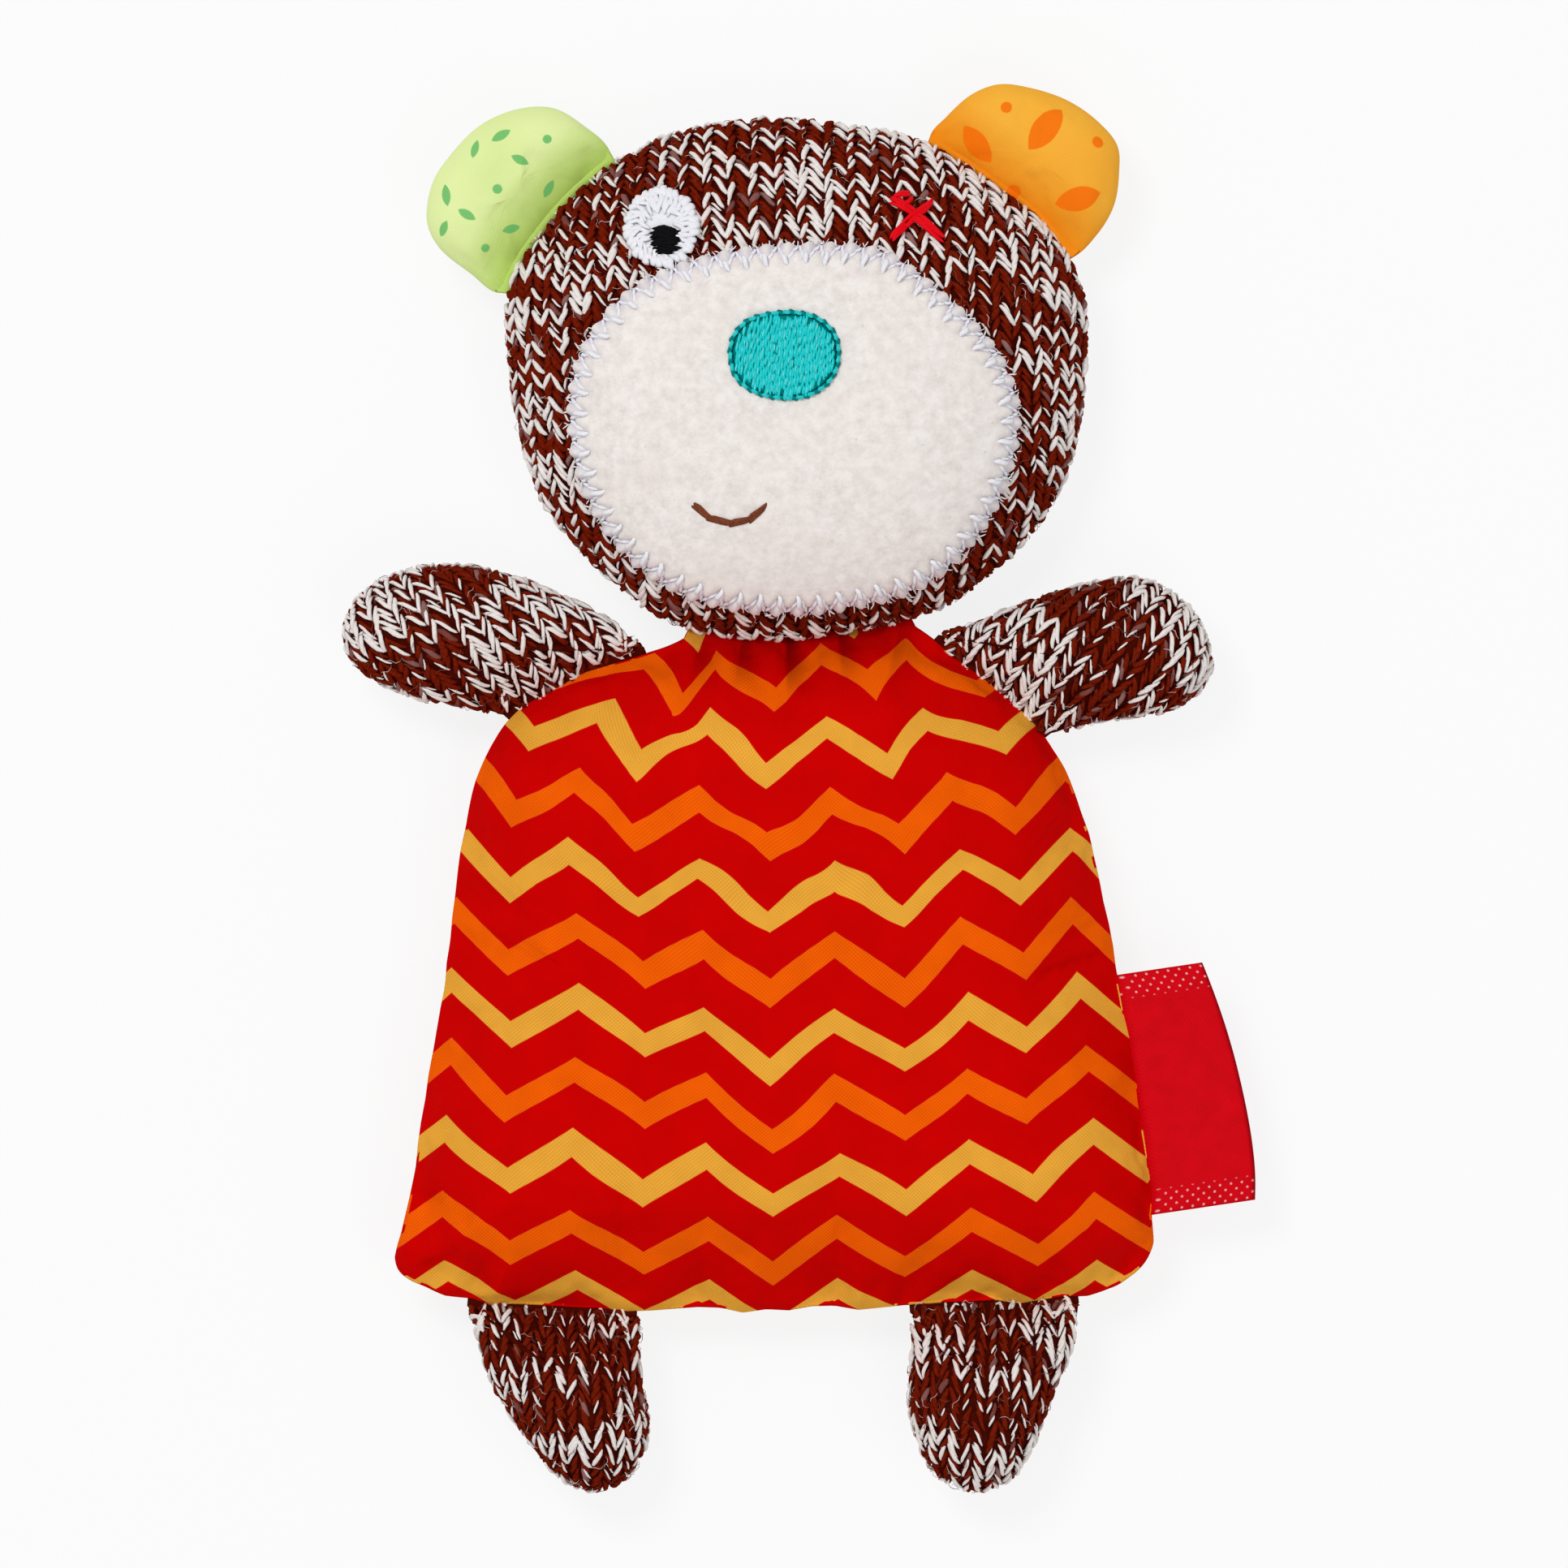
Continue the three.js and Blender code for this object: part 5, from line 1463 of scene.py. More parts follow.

# %% [markdown]
# ## The felt muzzle
# The muzzle is thick felt with a soft rounded edge, held by a white zigzag thread that runs over
# the edge and sinks into it. The felt dips along the thread and swells between its turns, so the
# dips are made in the mesh from the distance to the zigzag line. Near the edge a painted lavender
# shade lies in the dips.

# %% Material: felt
FELT_LIFT = 0.25
FELT_TOP = 1.75
FELT_EDGE = [
    (-0.35, FELT_LIFT), (-0.05, 0.4), (0.08, 0.75), (0.02, 1.1), (-0.15, 1.38), (-0.4, 1.58),
    (-0.7, 1.7), *[(-inwards, FELT_TOP) for inwards in (1.0, 1.3, 1.6, 1.9, 2.2, 2.5, 2.9, 3.4)],
]
DIP_DEPTH, DIP_WIDTH, DIP_EDGE_REACH = (0.45, 0.75), (0.36, 0.3), 1.1
TURN_REACH, VALLEY_SHADE_REACH = 0.75, 1.6


def felt_material():
    material, tree, shader = new_material("wool_felt", 0.95, 0.0, 0.0)
    clouds = ramp(tree, noise(tree, 650, 5, roughness=0.75), 0.3, 0.62)
    colour = mix_colours(tree, clouds, linear(227, 218, 213), linear(249, 243, 239))
    warm = ramp(tree, noise(tree, 130, 2), 0.5, 0.75, 0, 0.4)
    colour = mix_colours(tree, warm, colour, linear(244, 234, 224))
    # Painted shade: a lavender tint in the dips along the zigzag thread, strongest near the edge.
    painted_valley_shade = math_out(tree, "MULTIPLY", attribute_out(tree, "valley"), 0.75)
    colour = mix_colours(tree, painted_valley_shade, colour, linear(206, 200, 224))
    speck = ramp(tree, noise(tree, 1500, 2), 0.7, 0.78, 0, 0.3)
    colour = mix_colours(tree, speck, colour, linear(190, 170, 150))
    paint_with(tree, shader, colour, noise(tree, 2600, 4, roughness=0.7), 0.5, 0.12)
    return material


WOOL_FELT = felt_material()
FELT_FIBRE, tree, shader = new_material("felt_fibre", 1.0, 0.0, 0.0)
colour = mix_colours(tree, noise(tree, 800, 2), linear(232, 228, 232), linear(253, 252, 252))
paint_with(tree, shader, colour)

# %% The zigzag line
STITCH_PITCH = 2.45
STITCH_DEPTH = 2.35
STITCH_OVER = -0.2
SCALLOP = 0.38
muzzle_chain = closed(muzzle_outline)
turn_count = round(lengths_along(muzzle_chain)[-1] / STITCH_PITCH)
outer_turns = spread(closed(offset_outline(muzzle_outline, STITCH_OVER)), 2 * turn_count)
inner_turns = spread(closed(offset_outline(muzzle_outline, -STITCH_DEPTH)), 2 * turn_count)
zigzag = outer_turns.copy()
zigzag[1::2] = inner_turns[1::2]
print("zigzag turns:", turn_count)


# %% Felt patch
def loop_faces(count, size):
    """Quads between loops of equal size, one after the other."""
    faces = []
    for loop in range(count - 1):
        here, there = loop * size, (loop + 1) * size
        faces += [(here + i, here + (i + 1) % size, there + (i + 1) % size, there + i)
                  for i in range(size)]
    return faces


def felt_patch():
    """Loops from the middle of the underside round the edge to the middle of the top."""
    outline, size = muzzle_outline, len(muzzle_outline)
    middle = muzzle_middle
    loops = [(middle + (outline - middle) * share, FELT_LIFT) for share in (0.1, 0.4, 0.7, 0.9)]
    loops += [(offset_outline(outline, offset), lift) for offset, lift in FELT_EDGE]
    inner = loops[-1][0]
    loops += [(middle + (inner - middle) * share, FELT_TOP)
              for share in np.linspace(0.95, 0.05, 16)]
    points, valleys = [], []
    turns_out = zigzag[::2]
    for plan, lift in loops:
        gap = distance_to(closed(zigzag), plan)
        from_edge = distance_to(muzzle_chain, plan)
        at_edge = np.exp(-(from_edge / DIP_EDGE_REACH) ** 2)
        deep = DIP_DEPTH[0] + DIP_DEPTH[1] * at_edge
        wide = DIP_WIDTH[0] + DIP_WIDTH[1] * at_edge
        dip = deep * np.exp(-(gap / wide) ** 2) * np.clip((lift - 0.3) / 0.9, 0, 1)
        to_turn = np.min(np.linalg.norm(plan[:, None] - turns_out[None], axis=2), axis=1)
        pulled = SCALLOP * np.exp(-(to_turn / TURN_REACH) ** 2)
        inwards = (middle - plan) / np.maximum(np.linalg.norm(middle - plan, axis=1), 1)[:, None]
        points.append(on_face(plan + inwards * pulled[:, None], lift - dip))
        # How much painted lavender shade each point gets: near the thread and near the edge.
        valleys.append(np.exp(-(gap / wide) ** 2) * np.exp(-(from_edge / VALLEY_SHADE_REACH) ** 2))
    faces = loop_faces(len(points), size)
    first, last = tuple(range(size))[::-1], tuple(range((len(points) - 1) * size,
                                                        len(points) * size))
    return np.vstack(points), [*faces, first, last], np.concatenate(valleys)


points, faces, valleys = felt_patch()
muzzle = mesh_object("muzzle_patch_felt", points, faces, WOOL_FELT)
give_attribute(muzzle, "valley", valleys)

# %% [markdown]
# ## Embroidery
# Embroidery is short threads side by side. Each kind is laid by the same tree as the knit, from
# points on the plan of the face, each with a turn, a size and a lift above the face.

# %% Materials: threads
def thread_material(name, dark, light, roughness, specular=0.25, fibre=4200):
    material, tree, shader = new_material(name, roughness, 0.0, specular)
    colour = mix_colours(tree, noise(tree, fibre, 2), linear(*dark), linear(*light))
    paint_with(tree, shader, colour, noise(tree, fibre, 2), 0.35, 0.04)
    return material


WHITE_THREAD = thread_material("white_thread", (230, 230, 240), (254, 254, 255), 0.5, 0.1)
TEAL_THREAD = thread_material("teal_thread", (0, 172, 176), (36, 236, 236), 0.4, 0.2)
TEAL_GLINT = thread_material("teal_glint", (96, 214, 216), (150, 236, 236), 0.5, 0.1)
TEAL_SHADE = thread_material("teal_shade", (0, 104, 104), (0, 146, 144), 0.6, 0.05)
BLACK_THREAD = thread_material("black_thread", (1, 1, 2), (10, 10, 13), 0.6, 0.05)
RED_THREAD = thread_material("red_thread", (205, 0, 12), (255, 4, 26), 0.5, 0.08)
BROWN_THREAD = thread_material("brown_thread", (74, 28, 14), (150, 84, 56), 0.8, 0.05, 2600)

# %% Laying threads on the face
face_points, _, face_faces = panel_net(head, 1, rings=30)
face_carrier = mesh_object("face_carrier", face_points, face_faces, None, face_points[:, :2])


def embroider(name, material, places, turns, sizes, lifts, seed, wobble=4, base=()):
    """Threads at places on the plan of the face; turns are degrees from the bear's length."""
    count = len(places)
    points = np.column_stack([places, np.broadcast_to(lifts, count)])
    turns = np.radians(np.broadcast_to(turns, count))
    threads = points, turns, np.broadcast_to(sizes, (count, 3)), np.ones(count)
    piece = lay(name, face_carrier, strand, threads, wobble, seed, material)
    if base:
        join(piece, *base)
    print(name, "threads:", count)
    return piece


def thread_sizes(wide, long, high):
    """Rows of width, length and height; each is one number or one for each thread."""
    return np.stack(np.broadcast_arrays(wide, long, high), 1)


def turn_of(vectors):
    """Degrees that turn the strand's length onto each vector."""
    vectors = np.atleast_2d(vectors)
    return np.degrees(np.arctan2(vectors[:, 1], vectors[:, 0])) - 90


def ellipse(middle, width, length, count, shift=0.0):
    turn = 2 * math.pi * (np.arange(count) + shift) / count
    return middle + np.column_stack([np.cos(turn) * width / 2, np.sin(turn) * length / 2])


def cushion(name, outline, middle, low, high, material):
    """A thin domed base under threads, from its underside round to its top."""
    shares = [(0.2, low), (0.9, low), (1.0, (low + high) / 2), (0.92, high), (0.5, high + 0.1),
              (0.1, high + 0.15)]
    loops = [on_face(middle + (outline - middle) * share, lift) for share, lift in shares]
    size = len(outline)
    faces = loop_faces(len(loops), size)
    last = (len(loops) - 1) * size
    faces += [tuple(range(size))[::-1], tuple(range(last, last + size))]
    return mesh_object(name, np.vstack(loops), faces, material)


# %% Loose wisps at the felt's edge
draw = np.random.default_rng(44)
wisp_places = spread(closed(offset_outline(muzzle_outline, -0.15)), 300)
wisp_places = wisp_places + draw.normal(0, 0.15, wisp_places.shape)
outwards = turn_of(wisp_places - muzzle_middle) + draw.normal(0, 38, len(wisp_places))
wisp_sizes = thread_sizes(*(draw.uniform(low, high, len(wisp_places))
                            for low, high in ((0.08, 0.2), (0.5, 1.1), (0.1, 0.2))))
fibres = embroider("felt_wisps", FELT_FIBRE, wisp_places, outwards, wisp_sizes,
                   draw.uniform(0.3, FELT_TOP - 0.8, len(wisp_places)), 45)
join(muzzle, fibres)
sew_in(muzzle, "head", "felt", "muzzle_patch")

# %% Zigzag thread
ends = np.roll(zigzag, -1, axis=0)
to_end = ends - zigzag
thread_length = np.linalg.norm(to_end, axis=1)
goes_in = np.tile([1, 0], turn_count)
zigzag_places, zigzag_lifts = [], []
for inwards, lift in ((0.3, FELT_TOP - 1.05), (0.6, FELT_TOP - 0.6)):
    share = np.where(goes_in, inwards, 1 - inwards)
    zigzag_places.append(zigzag + to_end * share[:, None])
    zigzag_lifts.append(np.full(len(zigzag), lift))
zigzag_sizes = thread_sizes(0.4, thread_length * 0.5, 0.36)
draw = np.random.default_rng(42)
inner = zigzag[1::2]
to_middle = unit(muzzle_middle - inner)
tuft_places = inner - to_middle * 0.45 + draw.normal(0, 0.08, inner.shape)
tuft_turns = turn_of(to_middle) + 16 + draw.normal(0, 9, len(inner))
tuft_sizes = thread_sizes(0.62, draw.uniform(1.4, 1.9, len(inner)), 0.5)
tufts = embroider("zigzag_tufts", WHITE_THREAD, tuft_places, tuft_turns, tuft_sizes,
                  FELT_TOP - 0.22, 43, 6)
zigzag_piece = embroider("muzzle_zigzag_thread", WHITE_THREAD, np.vstack(zigzag_places),
                         np.tile(turn_of(to_end), 2), np.vstack([zigzag_sizes] * 2),
                         np.concatenate(zigzag_lifts), 41, 6, [tufts])
sew_in(zigzag_piece, "head", "white_thread", "muzzle_zigzag_stitch")

# %% Nose
NOSE_WIDTH, NOSE_LENGTH = 12.8, 10.2
NOSE_LIFT = FELT_TOP + 0.1
nose_middle = on_muzzle((-0.02, 0.206)) - (0, 0.5)
NOSE_SHAPE = [(1.0, 0.04), (0.93, 0.5), (0.62, 0.86), (0.2, 1.0), (-0.3, 0.96), (-0.72, 0.78),
              (-0.96, 0.4), (-1.0, -0.1), (-0.88, -0.55), (-0.55, -0.86), (-0.1, -1.0),
              (0.4, -0.96), (0.76, -0.7), (0.95, -0.35)]
nose_outline = smooth_outline(nose_middle + np.array(NOSE_SHAPE) * (NOSE_WIDTH / 2 - 0.3,
                                                                    NOSE_LENGTH / 2 - 0.3), 96)
SATIN_PITCH = 0.3
SATIN_STEP = 1.1
SATIN_SLANT = -1
draw = np.random.default_rng(51)
columns, rows = (grid.ravel() for grid in np.meshgrid(np.arange(-24, 25), np.arange(-6, 7)))
stagger = draw.random(49)[columns + 24]
satin = np.column_stack([columns * SATIN_PITCH, (rows + stagger) * SATIN_STEP])
satin = nose_middle + satin + draw.normal(0, 0.04, satin.shape)
satin = satin[is_inside(offset_outline(nose_outline, -0.5), satin)]
satin_sizes = thread_sizes(0.42, draw.uniform(1.2, 2.0, len(satin)),
                           draw.uniform(0.24, 0.4, len(satin)))
# The base under the satin is a darker teal, a painted shade between its threads.
nose_base = cushion("nose_base", offset_outline(nose_outline, -0.15), nose_middle,
                    NOSE_LIFT - 0.1, NOSE_LIFT + 0.2, TEAL_SHADE)
# Glints are thin pale teal strands on top of the satin: painted highlights.
glints = satin[::2] + draw.normal(0, 0.1, satin[::2].shape)
nose_glints = embroider("nose_glints", TEAL_GLINT, glints, SATIN_SLANT - 2, (0.13, 0.85, 0.2),
                        NOSE_LIFT + 0.34, 56, 4)
nose = embroider("nose_patch_satin", TEAL_THREAD, satin, SATIN_SLANT, satin_sizes,
                 NOSE_LIFT + 0.18, 52, 3, [nose_base, nose_glints])
sew_in(nose, "head", "teal_thread", "nose_patch")

BORDER_COUNT = 27
border_points = spread(closed(nose_outline), BORDER_COUNT)
border_next = np.roll(border_points, -1, axis=0)
border_turns = turn_of(border_next - border_points)
# Dark teal strands between the border's stitches are a painted shade in its gaps.
border_gaps = embroider("nose_border_gaps", TEAL_SHADE, border_points, border_turns,
                        (0.62, 1.1, 0.4), NOSE_LIFT - 0.05, 55)
border = embroider("nose_border_thread", TEAL_THREAD, (border_points + border_next) / 2,
                   border_turns + 9, (0.5, 1.08, 0.6), NOSE_LIFT + 0.05, 53, 5, [border_gaps])
sew_in(border, "head", "teal_thread", "nose_border_stitch")

# %% Mouth
MOUTH_PIXELS = [(862, 622), (879, 636), (903, 642), (925, 637), (943, 623)]
mouth_ends = np.array([at_pixel(*pixel) for pixel in MOUTH_PIXELS])
mouth_spans = np.diff(mouth_ends, axis=0)
mouth_places, mouth_turns, mouth_sizes = [], [], []
for shift, slant in ((-0.1, 10), (0.12, 4)):
    aside = unit(np.column_stack([-mouth_spans[:, 1], mouth_spans[:, 0]]))
    mouth_places.append((mouth_ends[:-1] + mouth_ends[1:]) / 2 + aside * shift)
    mouth_turns.append(turn_of(mouth_spans) + slant)
    mouth_sizes += [(0.56, 1.5 * np.linalg.norm(span), 0.42) for span in mouth_spans]
mouth = embroider("mouth_thread", BROWN_THREAD, np.vstack(mouth_places),
                  np.concatenate(mouth_turns), np.array(mouth_sizes), FELT_TOP - 0.05, 54, 2)
sew_in(mouth, "head", "brown_thread", "mouth_stitch")

# %% [markdown]
# The eye is three rings of threads. Each is a little smaller than the eye and has its number of
# threads, their size and slant, a shift round the ring, a seed and a lift. An arm of the cross has
# its two ends on the photograph and its number of threads.

# %% Eye ring and pupil
EYE_WIDTH, EYE_LENGTH = 8.4, 9.0
EYE_LIFT = 0.35
eye_middle = at_pixel(818, 289)
pupil_middle = at_pixel(824, 307)
EYE_RINGS = [
    (1.2, 34, (0.95, 1.5, 0.7), 55, 0, 61, 0.25),
    (2.6, 34, (0.5, 2.1, 0.5), 34, 0.3, 62, 0.5),
    (4.0, 30, (0.5, 2.0, 0.5), -20, 0.6, 63, 0.55),
]


def ring_of_threads(inset, count, size, slant, shift, seed, lift):
    """Threads that point away from the eye's middle, all leaning the same way."""
    draw = np.random.default_rng(seed)
    places = ellipse(eye_middle, EYE_WIDTH - inset, EYE_LENGTH - inset, count, shift)
    away = turn_of(places - eye_middle) + slant + draw.normal(0, 16, count)
    places = places + draw.normal(0, 0.08, (count, 2))
    sizes = np.array(size) * (0.85 + 0.3 * draw.random((count, 1)))
    return places, away, sizes, np.full(count, EYE_LIFT + lift)


rings = [ring_of_threads(*ring) for ring in EYE_RINGS]
eye_places, eye_turns, eye_sizes, eye_lifts = map(np.concatenate, zip(*rings))
eye_base = cushion("eye_base", ellipse(eye_middle, EYE_WIDTH - 0.8, EYE_LENGTH - 0.8, 60),
                   eye_middle, 0.1, EYE_LIFT + 0.35, WHITE_THREAD)
eye = embroider("eye_ring_thread", WHITE_THREAD, eye_places, eye_turns, eye_sizes, eye_lifts, 64,
                4, [eye_base])
sew_in(eye, "head", "white_thread", "eye_ring")

PUPIL_WIDTH, PUPIL_LENGTH = 3.7, 3.2
draw = np.random.default_rng(65)
pupil_rows = np.repeat(np.linspace(-0.82, 0.82, 9), 2)
pupil_halves = np.sqrt(1 - pupil_rows ** 2) * draw.uniform(0.86, 1.12, len(pupil_rows))
pupil_places = pupil_middle + np.column_stack([
    draw.normal(0, 0.12, len(pupil_rows)), pupil_rows * PUPIL_LENGTH / 2])
pupil_sizes = thread_sizes(0.5, pupil_halves * PUPIL_WIDTH, 0.3)
pupil = embroider("eye_pupil_thread", BLACK_THREAD, pupil_places, 90, pupil_sizes,
                  EYE_LIFT + 0.95, 67, 14)
sew_in(pupil, "head", "black_thread", "eye_pupil")

# %% Cross eye
CROSS_ARMS = [
    ((1095, 303), (1116, 282), 3), ((1110, 287), (1148, 256), 3), ((1095, 253), (1128, 276), 3),
    ((1122, 272), (1159, 307), 4), ((1099, 251), (1120, 249), 2), ((1108, 268), (1122, 252), 1),
]
draw = np.random.default_rng(71)
cross_places, cross_turns, cross_sizes, cross_lifts = [], [], [], []
for start, end, strands_in_arm in CROSS_ARMS:
    start, end = at_pixel(*start), at_pixel(*end)
    span = end - start
    aside = np.array([-span[1], span[0]]) / np.linalg.norm(span)
    for k in range(strands_in_arm):
        shift = (k - (strands_in_arm - 1) / 2) * 0.22
        cross_places.append((start + end) / 2 + aside * shift + draw.normal(0, 0.05, 2))
        cross_turns.append(turn_of(span)[0] + 6 + draw.normal(0, 4))
        cross_sizes.append((0.54, np.linalg.norm(span) * (1.04 + draw.normal(0, 0.05)), 0.4))
        cross_lifts.append(0.35 + 0.09 * len(cross_lifts) ** 0.6)
cross = embroider("cross_eye_thread", RED_THREAD, np.array(cross_places), np.array(cross_turns),
                  np.array(cross_sizes), np.array(cross_lifts), 72, 2)
sew_in(cross, "head", "red_thread", "cross_eye_stitch")
bpy.data.objects.remove(face_carrier)

# %% [markdown]
# ## Ears
# Each ear is two panels of printed plain weave with thin wadding between them. Towards the
# head the cloth gets a painted shade.

# %% Printed leaves and dots
def leaf_mask(tree, across, along, leaves, soft=0.12):
    """1 inside any leaf; a leaf is two equal circles' overlap, given by place, turn and size. A dot
    is a leaf about as wide as long."""
    def do(operation, first, second=0.0):
        return math_out(tree, operation, first, second)
    mask = 0.0
    for x, y, turn, length, width in leaves:
        c, s = math.cos(math.radians(turn)), math.sin(math.radians(turn))
        dx, dy = do("SUBTRACT", across, x), do("SUBTRACT", along, y)
        on_axis = do("ADD", do("MULTIPLY", dx, c), do("MULTIPLY", dy, s))
        off_axis = do("ABSOLUTE", do("SUBTRACT", do("MULTIPLY", dy, c), do("MULTIPLY", dx, s)))
        bow = (length ** 2 / 4 - width ** 2 / 4) / width
        off_axis = do("ADD", off_axis, bow)
        reach = do("ADD", do("MULTIPLY", on_axis, on_axis), do("MULTIPLY", off_axis, off_axis))
        gap = do("SUBTRACT", bow + width / 2, do("SQRT", reach))
        mask = do("MAXIMUM", ramp(tree, gap, 0.0, soft), mask)
    return mask


# %% Ear cloth
GREEN_LEAVES = [
    (-31.2, 95.0, 30, 2.6, 1.2), (-34.2, 93.6, 80, 2.4, 1.1), (-29.0, 92.2, -25, 2.4, 1.1),
    (-37.4, 88.4, 100, 2.7, 1.2), (-35.0, 86.2, 150, 2.4, 1.1), (-37.8, 84.6, 60, 2.3, 1.1),
    (-26.0, 94.6, 0, 1.1, 1.09), (-31.6, 89.0, 0, 1.2, 1.19), (-33.0, 82.4, 0, 1.1, 1.09),
    (-25.6, 89.0, 65, 2.5, 1.1), (-30.0, 84.4, 10, 2.3, 1.1),
]
ORANGE_LEAVES = [
    (30.4, 95.8, 50, 6.2, 3.0), (22.6, 94.2, 125, 5.2, 2.6), (34.2, 88.0, 15, 5.4, 2.8),
    (26.6, 88.6, 0, 1.7, 1.69), (36.4, 94.4, 0, 1.5, 1.49), (26.0, 98.2, 0, 1.4, 1.39),
]


def ear_cloth(name, light, dark, motif, leaves):
    material, tree, shader = new_material(name, 0.8, 0.0, 0.03)
    across, along = flat_place(tree)
    ripple = ramp(tree, noise(tree, 90, 2), 0.35, 0.7, 0, 0.3)
    # Painted shade: the cloth goes from its light to its dark colour near the root, where the ear
    # meets the head; the ripple is tone that differs at random.
    near = attribute_out(tree, "painted_root_shade")
    shade = math_out(tree, "MINIMUM", math_out(tree, "ADD", ripple, near), 1.0)
    colour = mix_colours(tree, shade, linear(*light), linear(*dark))
    mask = math_out(tree, "MULTIPLY", leaf_mask(tree, across, along, leaves), 0.92)
    colour = mix_colours(tree, mask, colour, linear(*motif))
    weave = weave_height(tree, across, along, 0.4)
    pores = math_out(tree, "MULTIPLY", math_out(tree, "SUBTRACT", 1.0, weave), 0.3)
    colour = mix_colours(tree, pores, colour, linear(*dark))
    paint_with(tree, shader, colour, weave, 0.3, 0.06)
    return material


EAR_CLOTH = {
    "green_ear": ear_cloth("green_cloth", (238, 251, 180), (192, 222, 112), (84, 188, 108),
                           GREEN_LEAVES),
    "orange_ear": ear_cloth("orange_cloth", (255, 190, 66), (246, 146, 26), (255, 112, 6),
                            ORANGE_LEAVES),
}

# %% Ear panels
EAR_ROOT_SHADE = 6.0
EAR_WALL = 0.35
for name, cloth in EAR_CLOTH.items():
    ear = pillows[name]
    simulated_ear = blown_up(ear, 7, 90, 0.35)
    for side, word in ((1, "front"), (-1, "back")):
        points, flat, faces = panel_net(ear, side, rings=18)
        if simulated_ear:
            points = settle(points, simulated_ear, ear)
        # How much painted shade the cloth gets, from full at the root to none 6 mm away.
        near_root = 1 - distance_to(ear["root"], points[:, :2]) / EAR_ROOT_SHADE
        reach_under(points, head_outline, ROOT_REACH, len(ear["outline"]))
        panel = mesh_object(f"{name}_{word}_panel_cloth", points, faces, cloth, flat)
        give_attribute(panel, "painted_root_shade", np.clip(near_root, 0, 1))
        give_thickness(panel, EAR_WALL)
        sew_in(panel, name, name.replace("ear", "cloth"), f"{name}_{word}_panel", fill=0.4)

# %% [markdown]
# ## Side label
# A woven ribbon is folded in two and sewn by both ends into the side seam. It bulges out at its
# middle and its two layers stand slightly apart. A band of fine dots crosses it at either end.

# %% Ribbon
DOT_PITCH = 1.25
DOTS_START = 10.9


def ribbon_material():
    material, tree, shader = new_material("label_ribbon", 0.65, 0.0, 0.06)
    across, along = flat_place(tree)
    weave = weave_height(tree, across, along, 0.5)
    red = mix_colours(tree, noise(tree, 500, 2), linear(204, 0, 10), linear(232, 0, 22))
    dot = ramp(tree, weave_height(tree, across, along, DOT_PITCH), 0.84, 0.96, 0.0, 0.7)
    at_end = ramp(tree, math_out(tree, "ABSOLUTE", along), DOTS_START, DOTS_START + 0.2)
    dotted = math_out(tree, "MULTIPLY", dot, at_end)
    colour = mix_colours(tree, dotted, red, linear(255, 214, 222))
    threads = math_out(tree, "MULTIPLY", math_out(tree, "SUBTRACT", 1.0, weave), 0.25)
    colour = mix_colours(tree, threads, colour, linear(150, 0, 14))
    paint_with(tree, shader, colour, weave, 0.35, 0.07)
    return material


LABEL_RIBBON = ribbon_material()
LABEL_LENGTH, LABEL_TOP_WIDTH, LABEL_BOTTOM_WIDTH, LABEL_BULGE = 27.6, 9.3, 11.3, 0.9
LABEL_STEP, LABEL_REACH = 0.4, 0.3
RIBBON_HALF_GAP = 0.3
RIBBON_WALL = 0.22
RIBBON_ROWS, RIBBON_COLUMNS = 56, 34
RIBBON_WAVE, WAVE_TURN, WAVE_START = 0.25, 7, 0.6
FOLD_STEEPNESS = 9


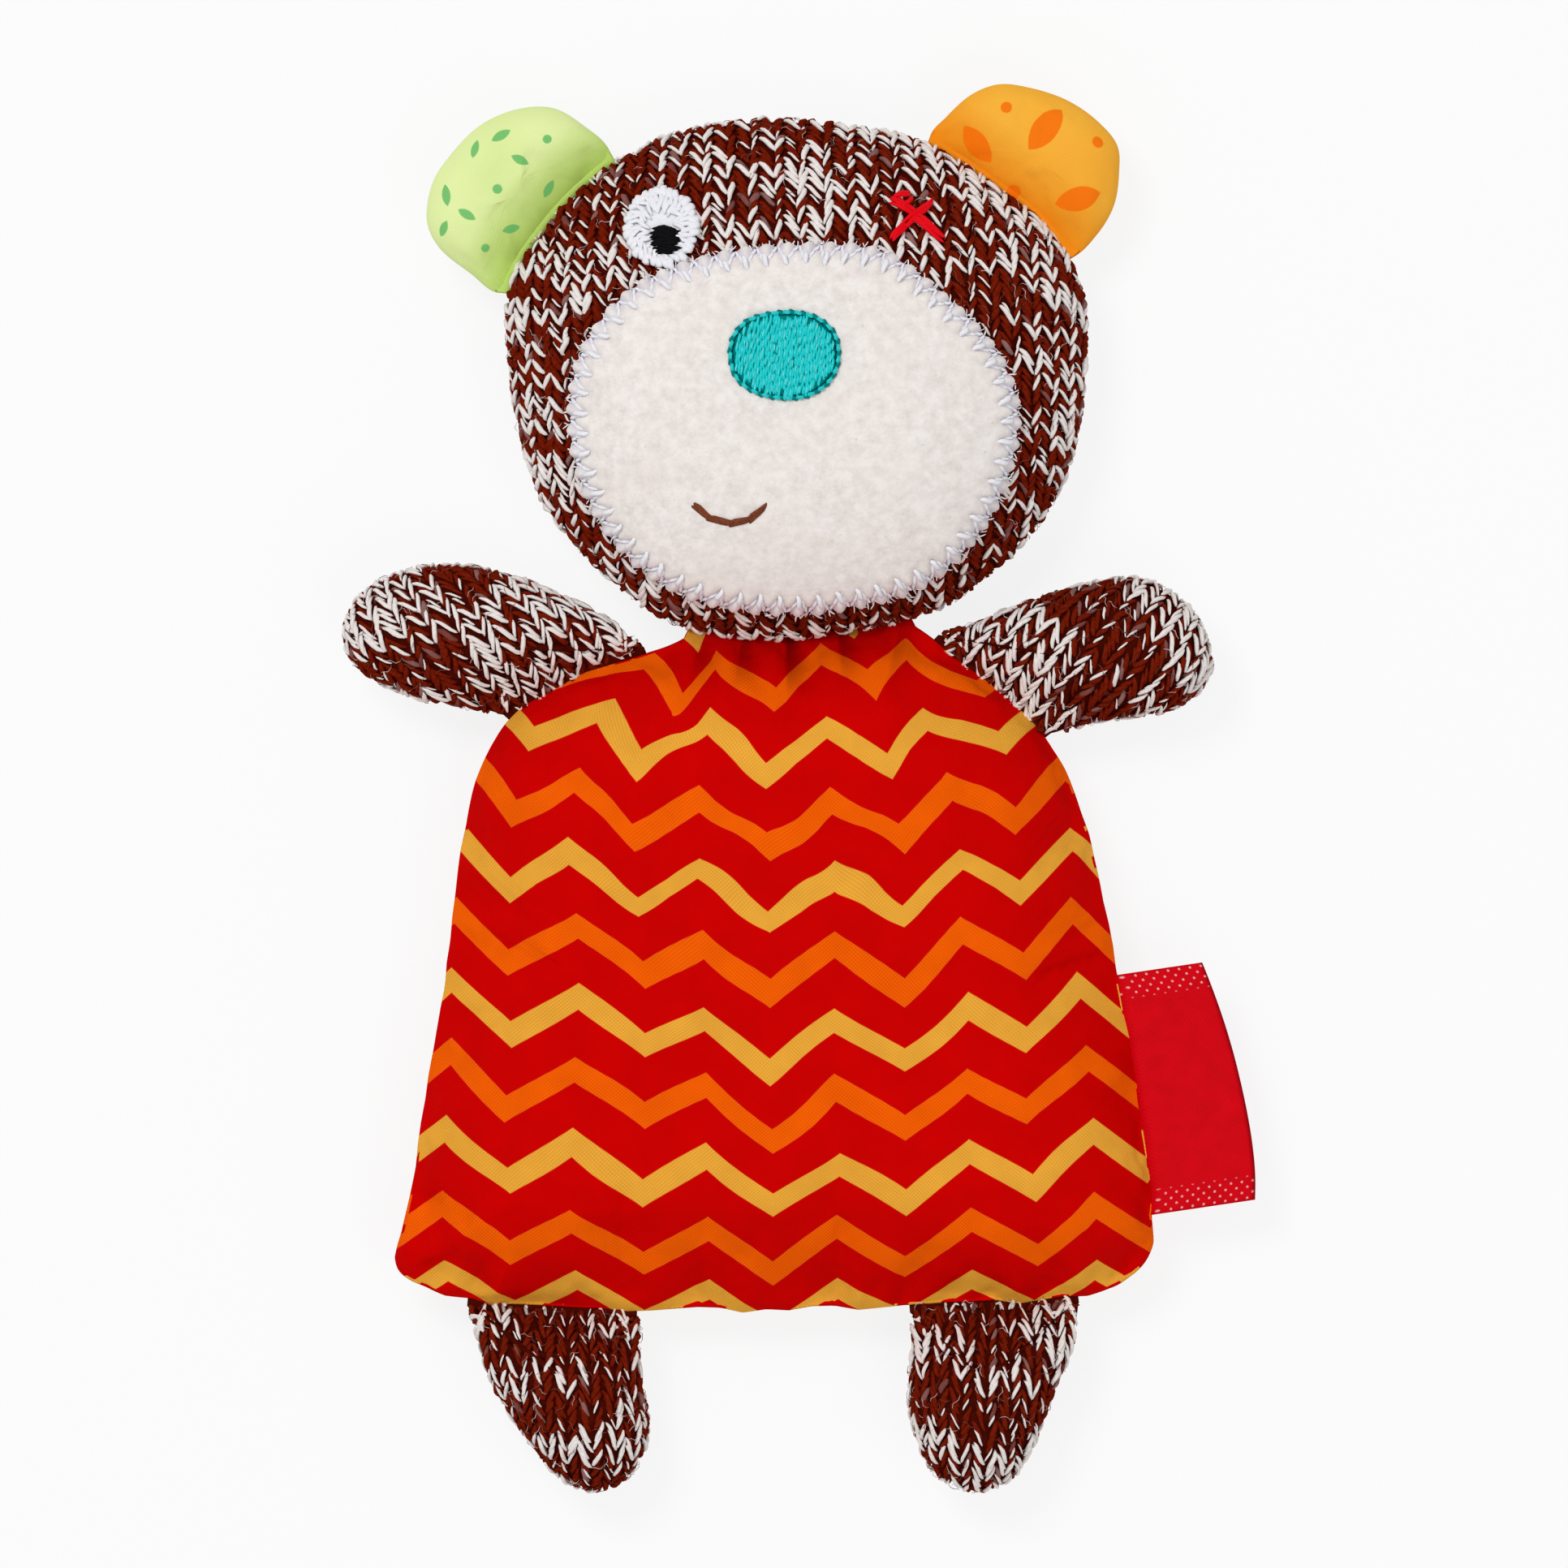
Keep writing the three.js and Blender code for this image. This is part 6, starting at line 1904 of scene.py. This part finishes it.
def ribbon():
    """Rows along the seam; each row runs out over the top layer, round the fold and back."""
    edge = offset_outline(body_outline, LABEL_STEP)
    root = hit_through(body_middle, on_body(ATTACH["label"]), edge)
    index = segment_at(edge, root)
    up = np.vstack([root, np.roll(edge, -(index + 1), axis=0)])
    down = np.vstack([root, np.roll(edge[::-1], index - len(edge) + 1, axis=0)])
    rows, flat = [], []

    def along(chain, distance):
        lengths = lengths_along(chain)
        return np.array([np.interp(distance, lengths, chain[:, k]) for k in (0, 1)])
    top, bottom = along(up, LABEL_LENGTH / 2), along(down, LABEL_LENGTH / 2)
    outwards = np.array([top[1] - bottom[1], bottom[0] - top[0]])
    outwards /= np.linalg.norm(outwards)
    for step in range(RIBBON_ROWS + 1):
        share = step / RIBBON_ROWS
        place = (share - 0.5) * LABEL_LENGTH
        seam = along(up if place > 0 else down, abs(place))
        width = LABEL_BOTTOM_WIDTH + (LABEL_TOP_WIDTH - LABEL_BOTTOM_WIDTH) * share
        width += LABEL_BULGE * 4 * share * (1 - share)
        for k in range(RIBBON_COLUMNS + 1):
            t = -1 + 2 * k / RIBBON_COLUMNS
            run = (1 - abs(t)) * width
            half = RIBBON_HALF_GAP * math.sin(min(1, abs(t) * FOLD_STEEPNESS) * math.pi / 2)
            half *= 0.55 + 0.45 * math.sin(math.pi * abs(t))
            wave = RIBBON_WAVE * math.sin(share * WAVE_TURN + WAVE_START) * (1 - abs(t))
            x, y = seam + outwards * (run if run else -LABEL_STEP - LABEL_REACH)
            rows.append((x, y, SEAM_HEIGHT - math.copysign(half, t) + wave))
            flat.append((t * width, place))
    size = RIBBON_COLUMNS + 1
    faces = [(r * size + k, r * size + k + 1, (r + 1) * size + k + 1, (r + 1) * size + k)
             for r in range(RIBBON_ROWS) for k in range(RIBBON_COLUMNS)]
    return np.array(rows), np.array(flat), faces


points, flat, faces = ribbon()
label = mesh_object("side_label_ribbon", points, faces, LABEL_RIBBON, flat)
give_thickness(label, RIBBON_WALL)
sew_in(label, "side_label", "label_ribbon", "side_label")

# %% [markdown]
# ## Fillings
# Loose fibre fills the pieces. It hardly shows, but each filling is still a closed form, a little
# smaller than its piece.

# %% Fillings
FILLING_INSET, WADDING_INSET = 1.9, 0.8


def filling_material():
    material, tree, shader = new_material("fibre_filling", 1.0, 0.3)
    colour = mix_colours(tree, noise(tree, 600, 4), linear(232, 230, 224), linear(250, 249, 246))
    paint_with(tree, shader, colour, noise(tree, 1500, 4), 0.6, 0.3)
    return material


FIBRE_FILLING = filling_material()
FILLED = ("head", "body", "left_arm", "right_arm", "left_leg", "right_leg", "green_ear",
          "orange_ear")


def filling_piece(name, pillow, inset):
    points, faces = [], []
    for side in (1, -1):
        net_points, _, net_faces = panel_net(pillow, side, inset, rings=9, steps=90)
        if pillow is body and side > 0:
            height = net_points[:, 2] - SEAM_HEIGHT
            net_points[:, 2] -= np.minimum(pleat_depths(net_points[:, :2])[0], 0.8 * height)
        first = sum(map(len, points))
        points.append(net_points)
        faces += [tuple(first + corner for corner in face) for face in net_faces]
    piece = mesh_object(name, np.vstack(points), faces, FIBRE_FILLING)
    weld = piece.modifiers.new("weld", "WELD")
    weld.merge_threshold = 1e-5
    apply_modifiers(piece)
    return piece


for name in FILLED:
    inset = WADDING_INSET if "ear" in name else FILLING_INSET
    node = name + ("_wadding" if "ear" in name else "_filling")
    piece = filling_piece(f"{node}_fibre", pillows[name], inset)
    sew_in(piece, "torso" if name == "body" else name, "filling", node, fill=0.6)

# %% Remove the shapes of one strand and one hair
bpy.data.objects.remove(strand)
bpy.data.objects.remove(hair)
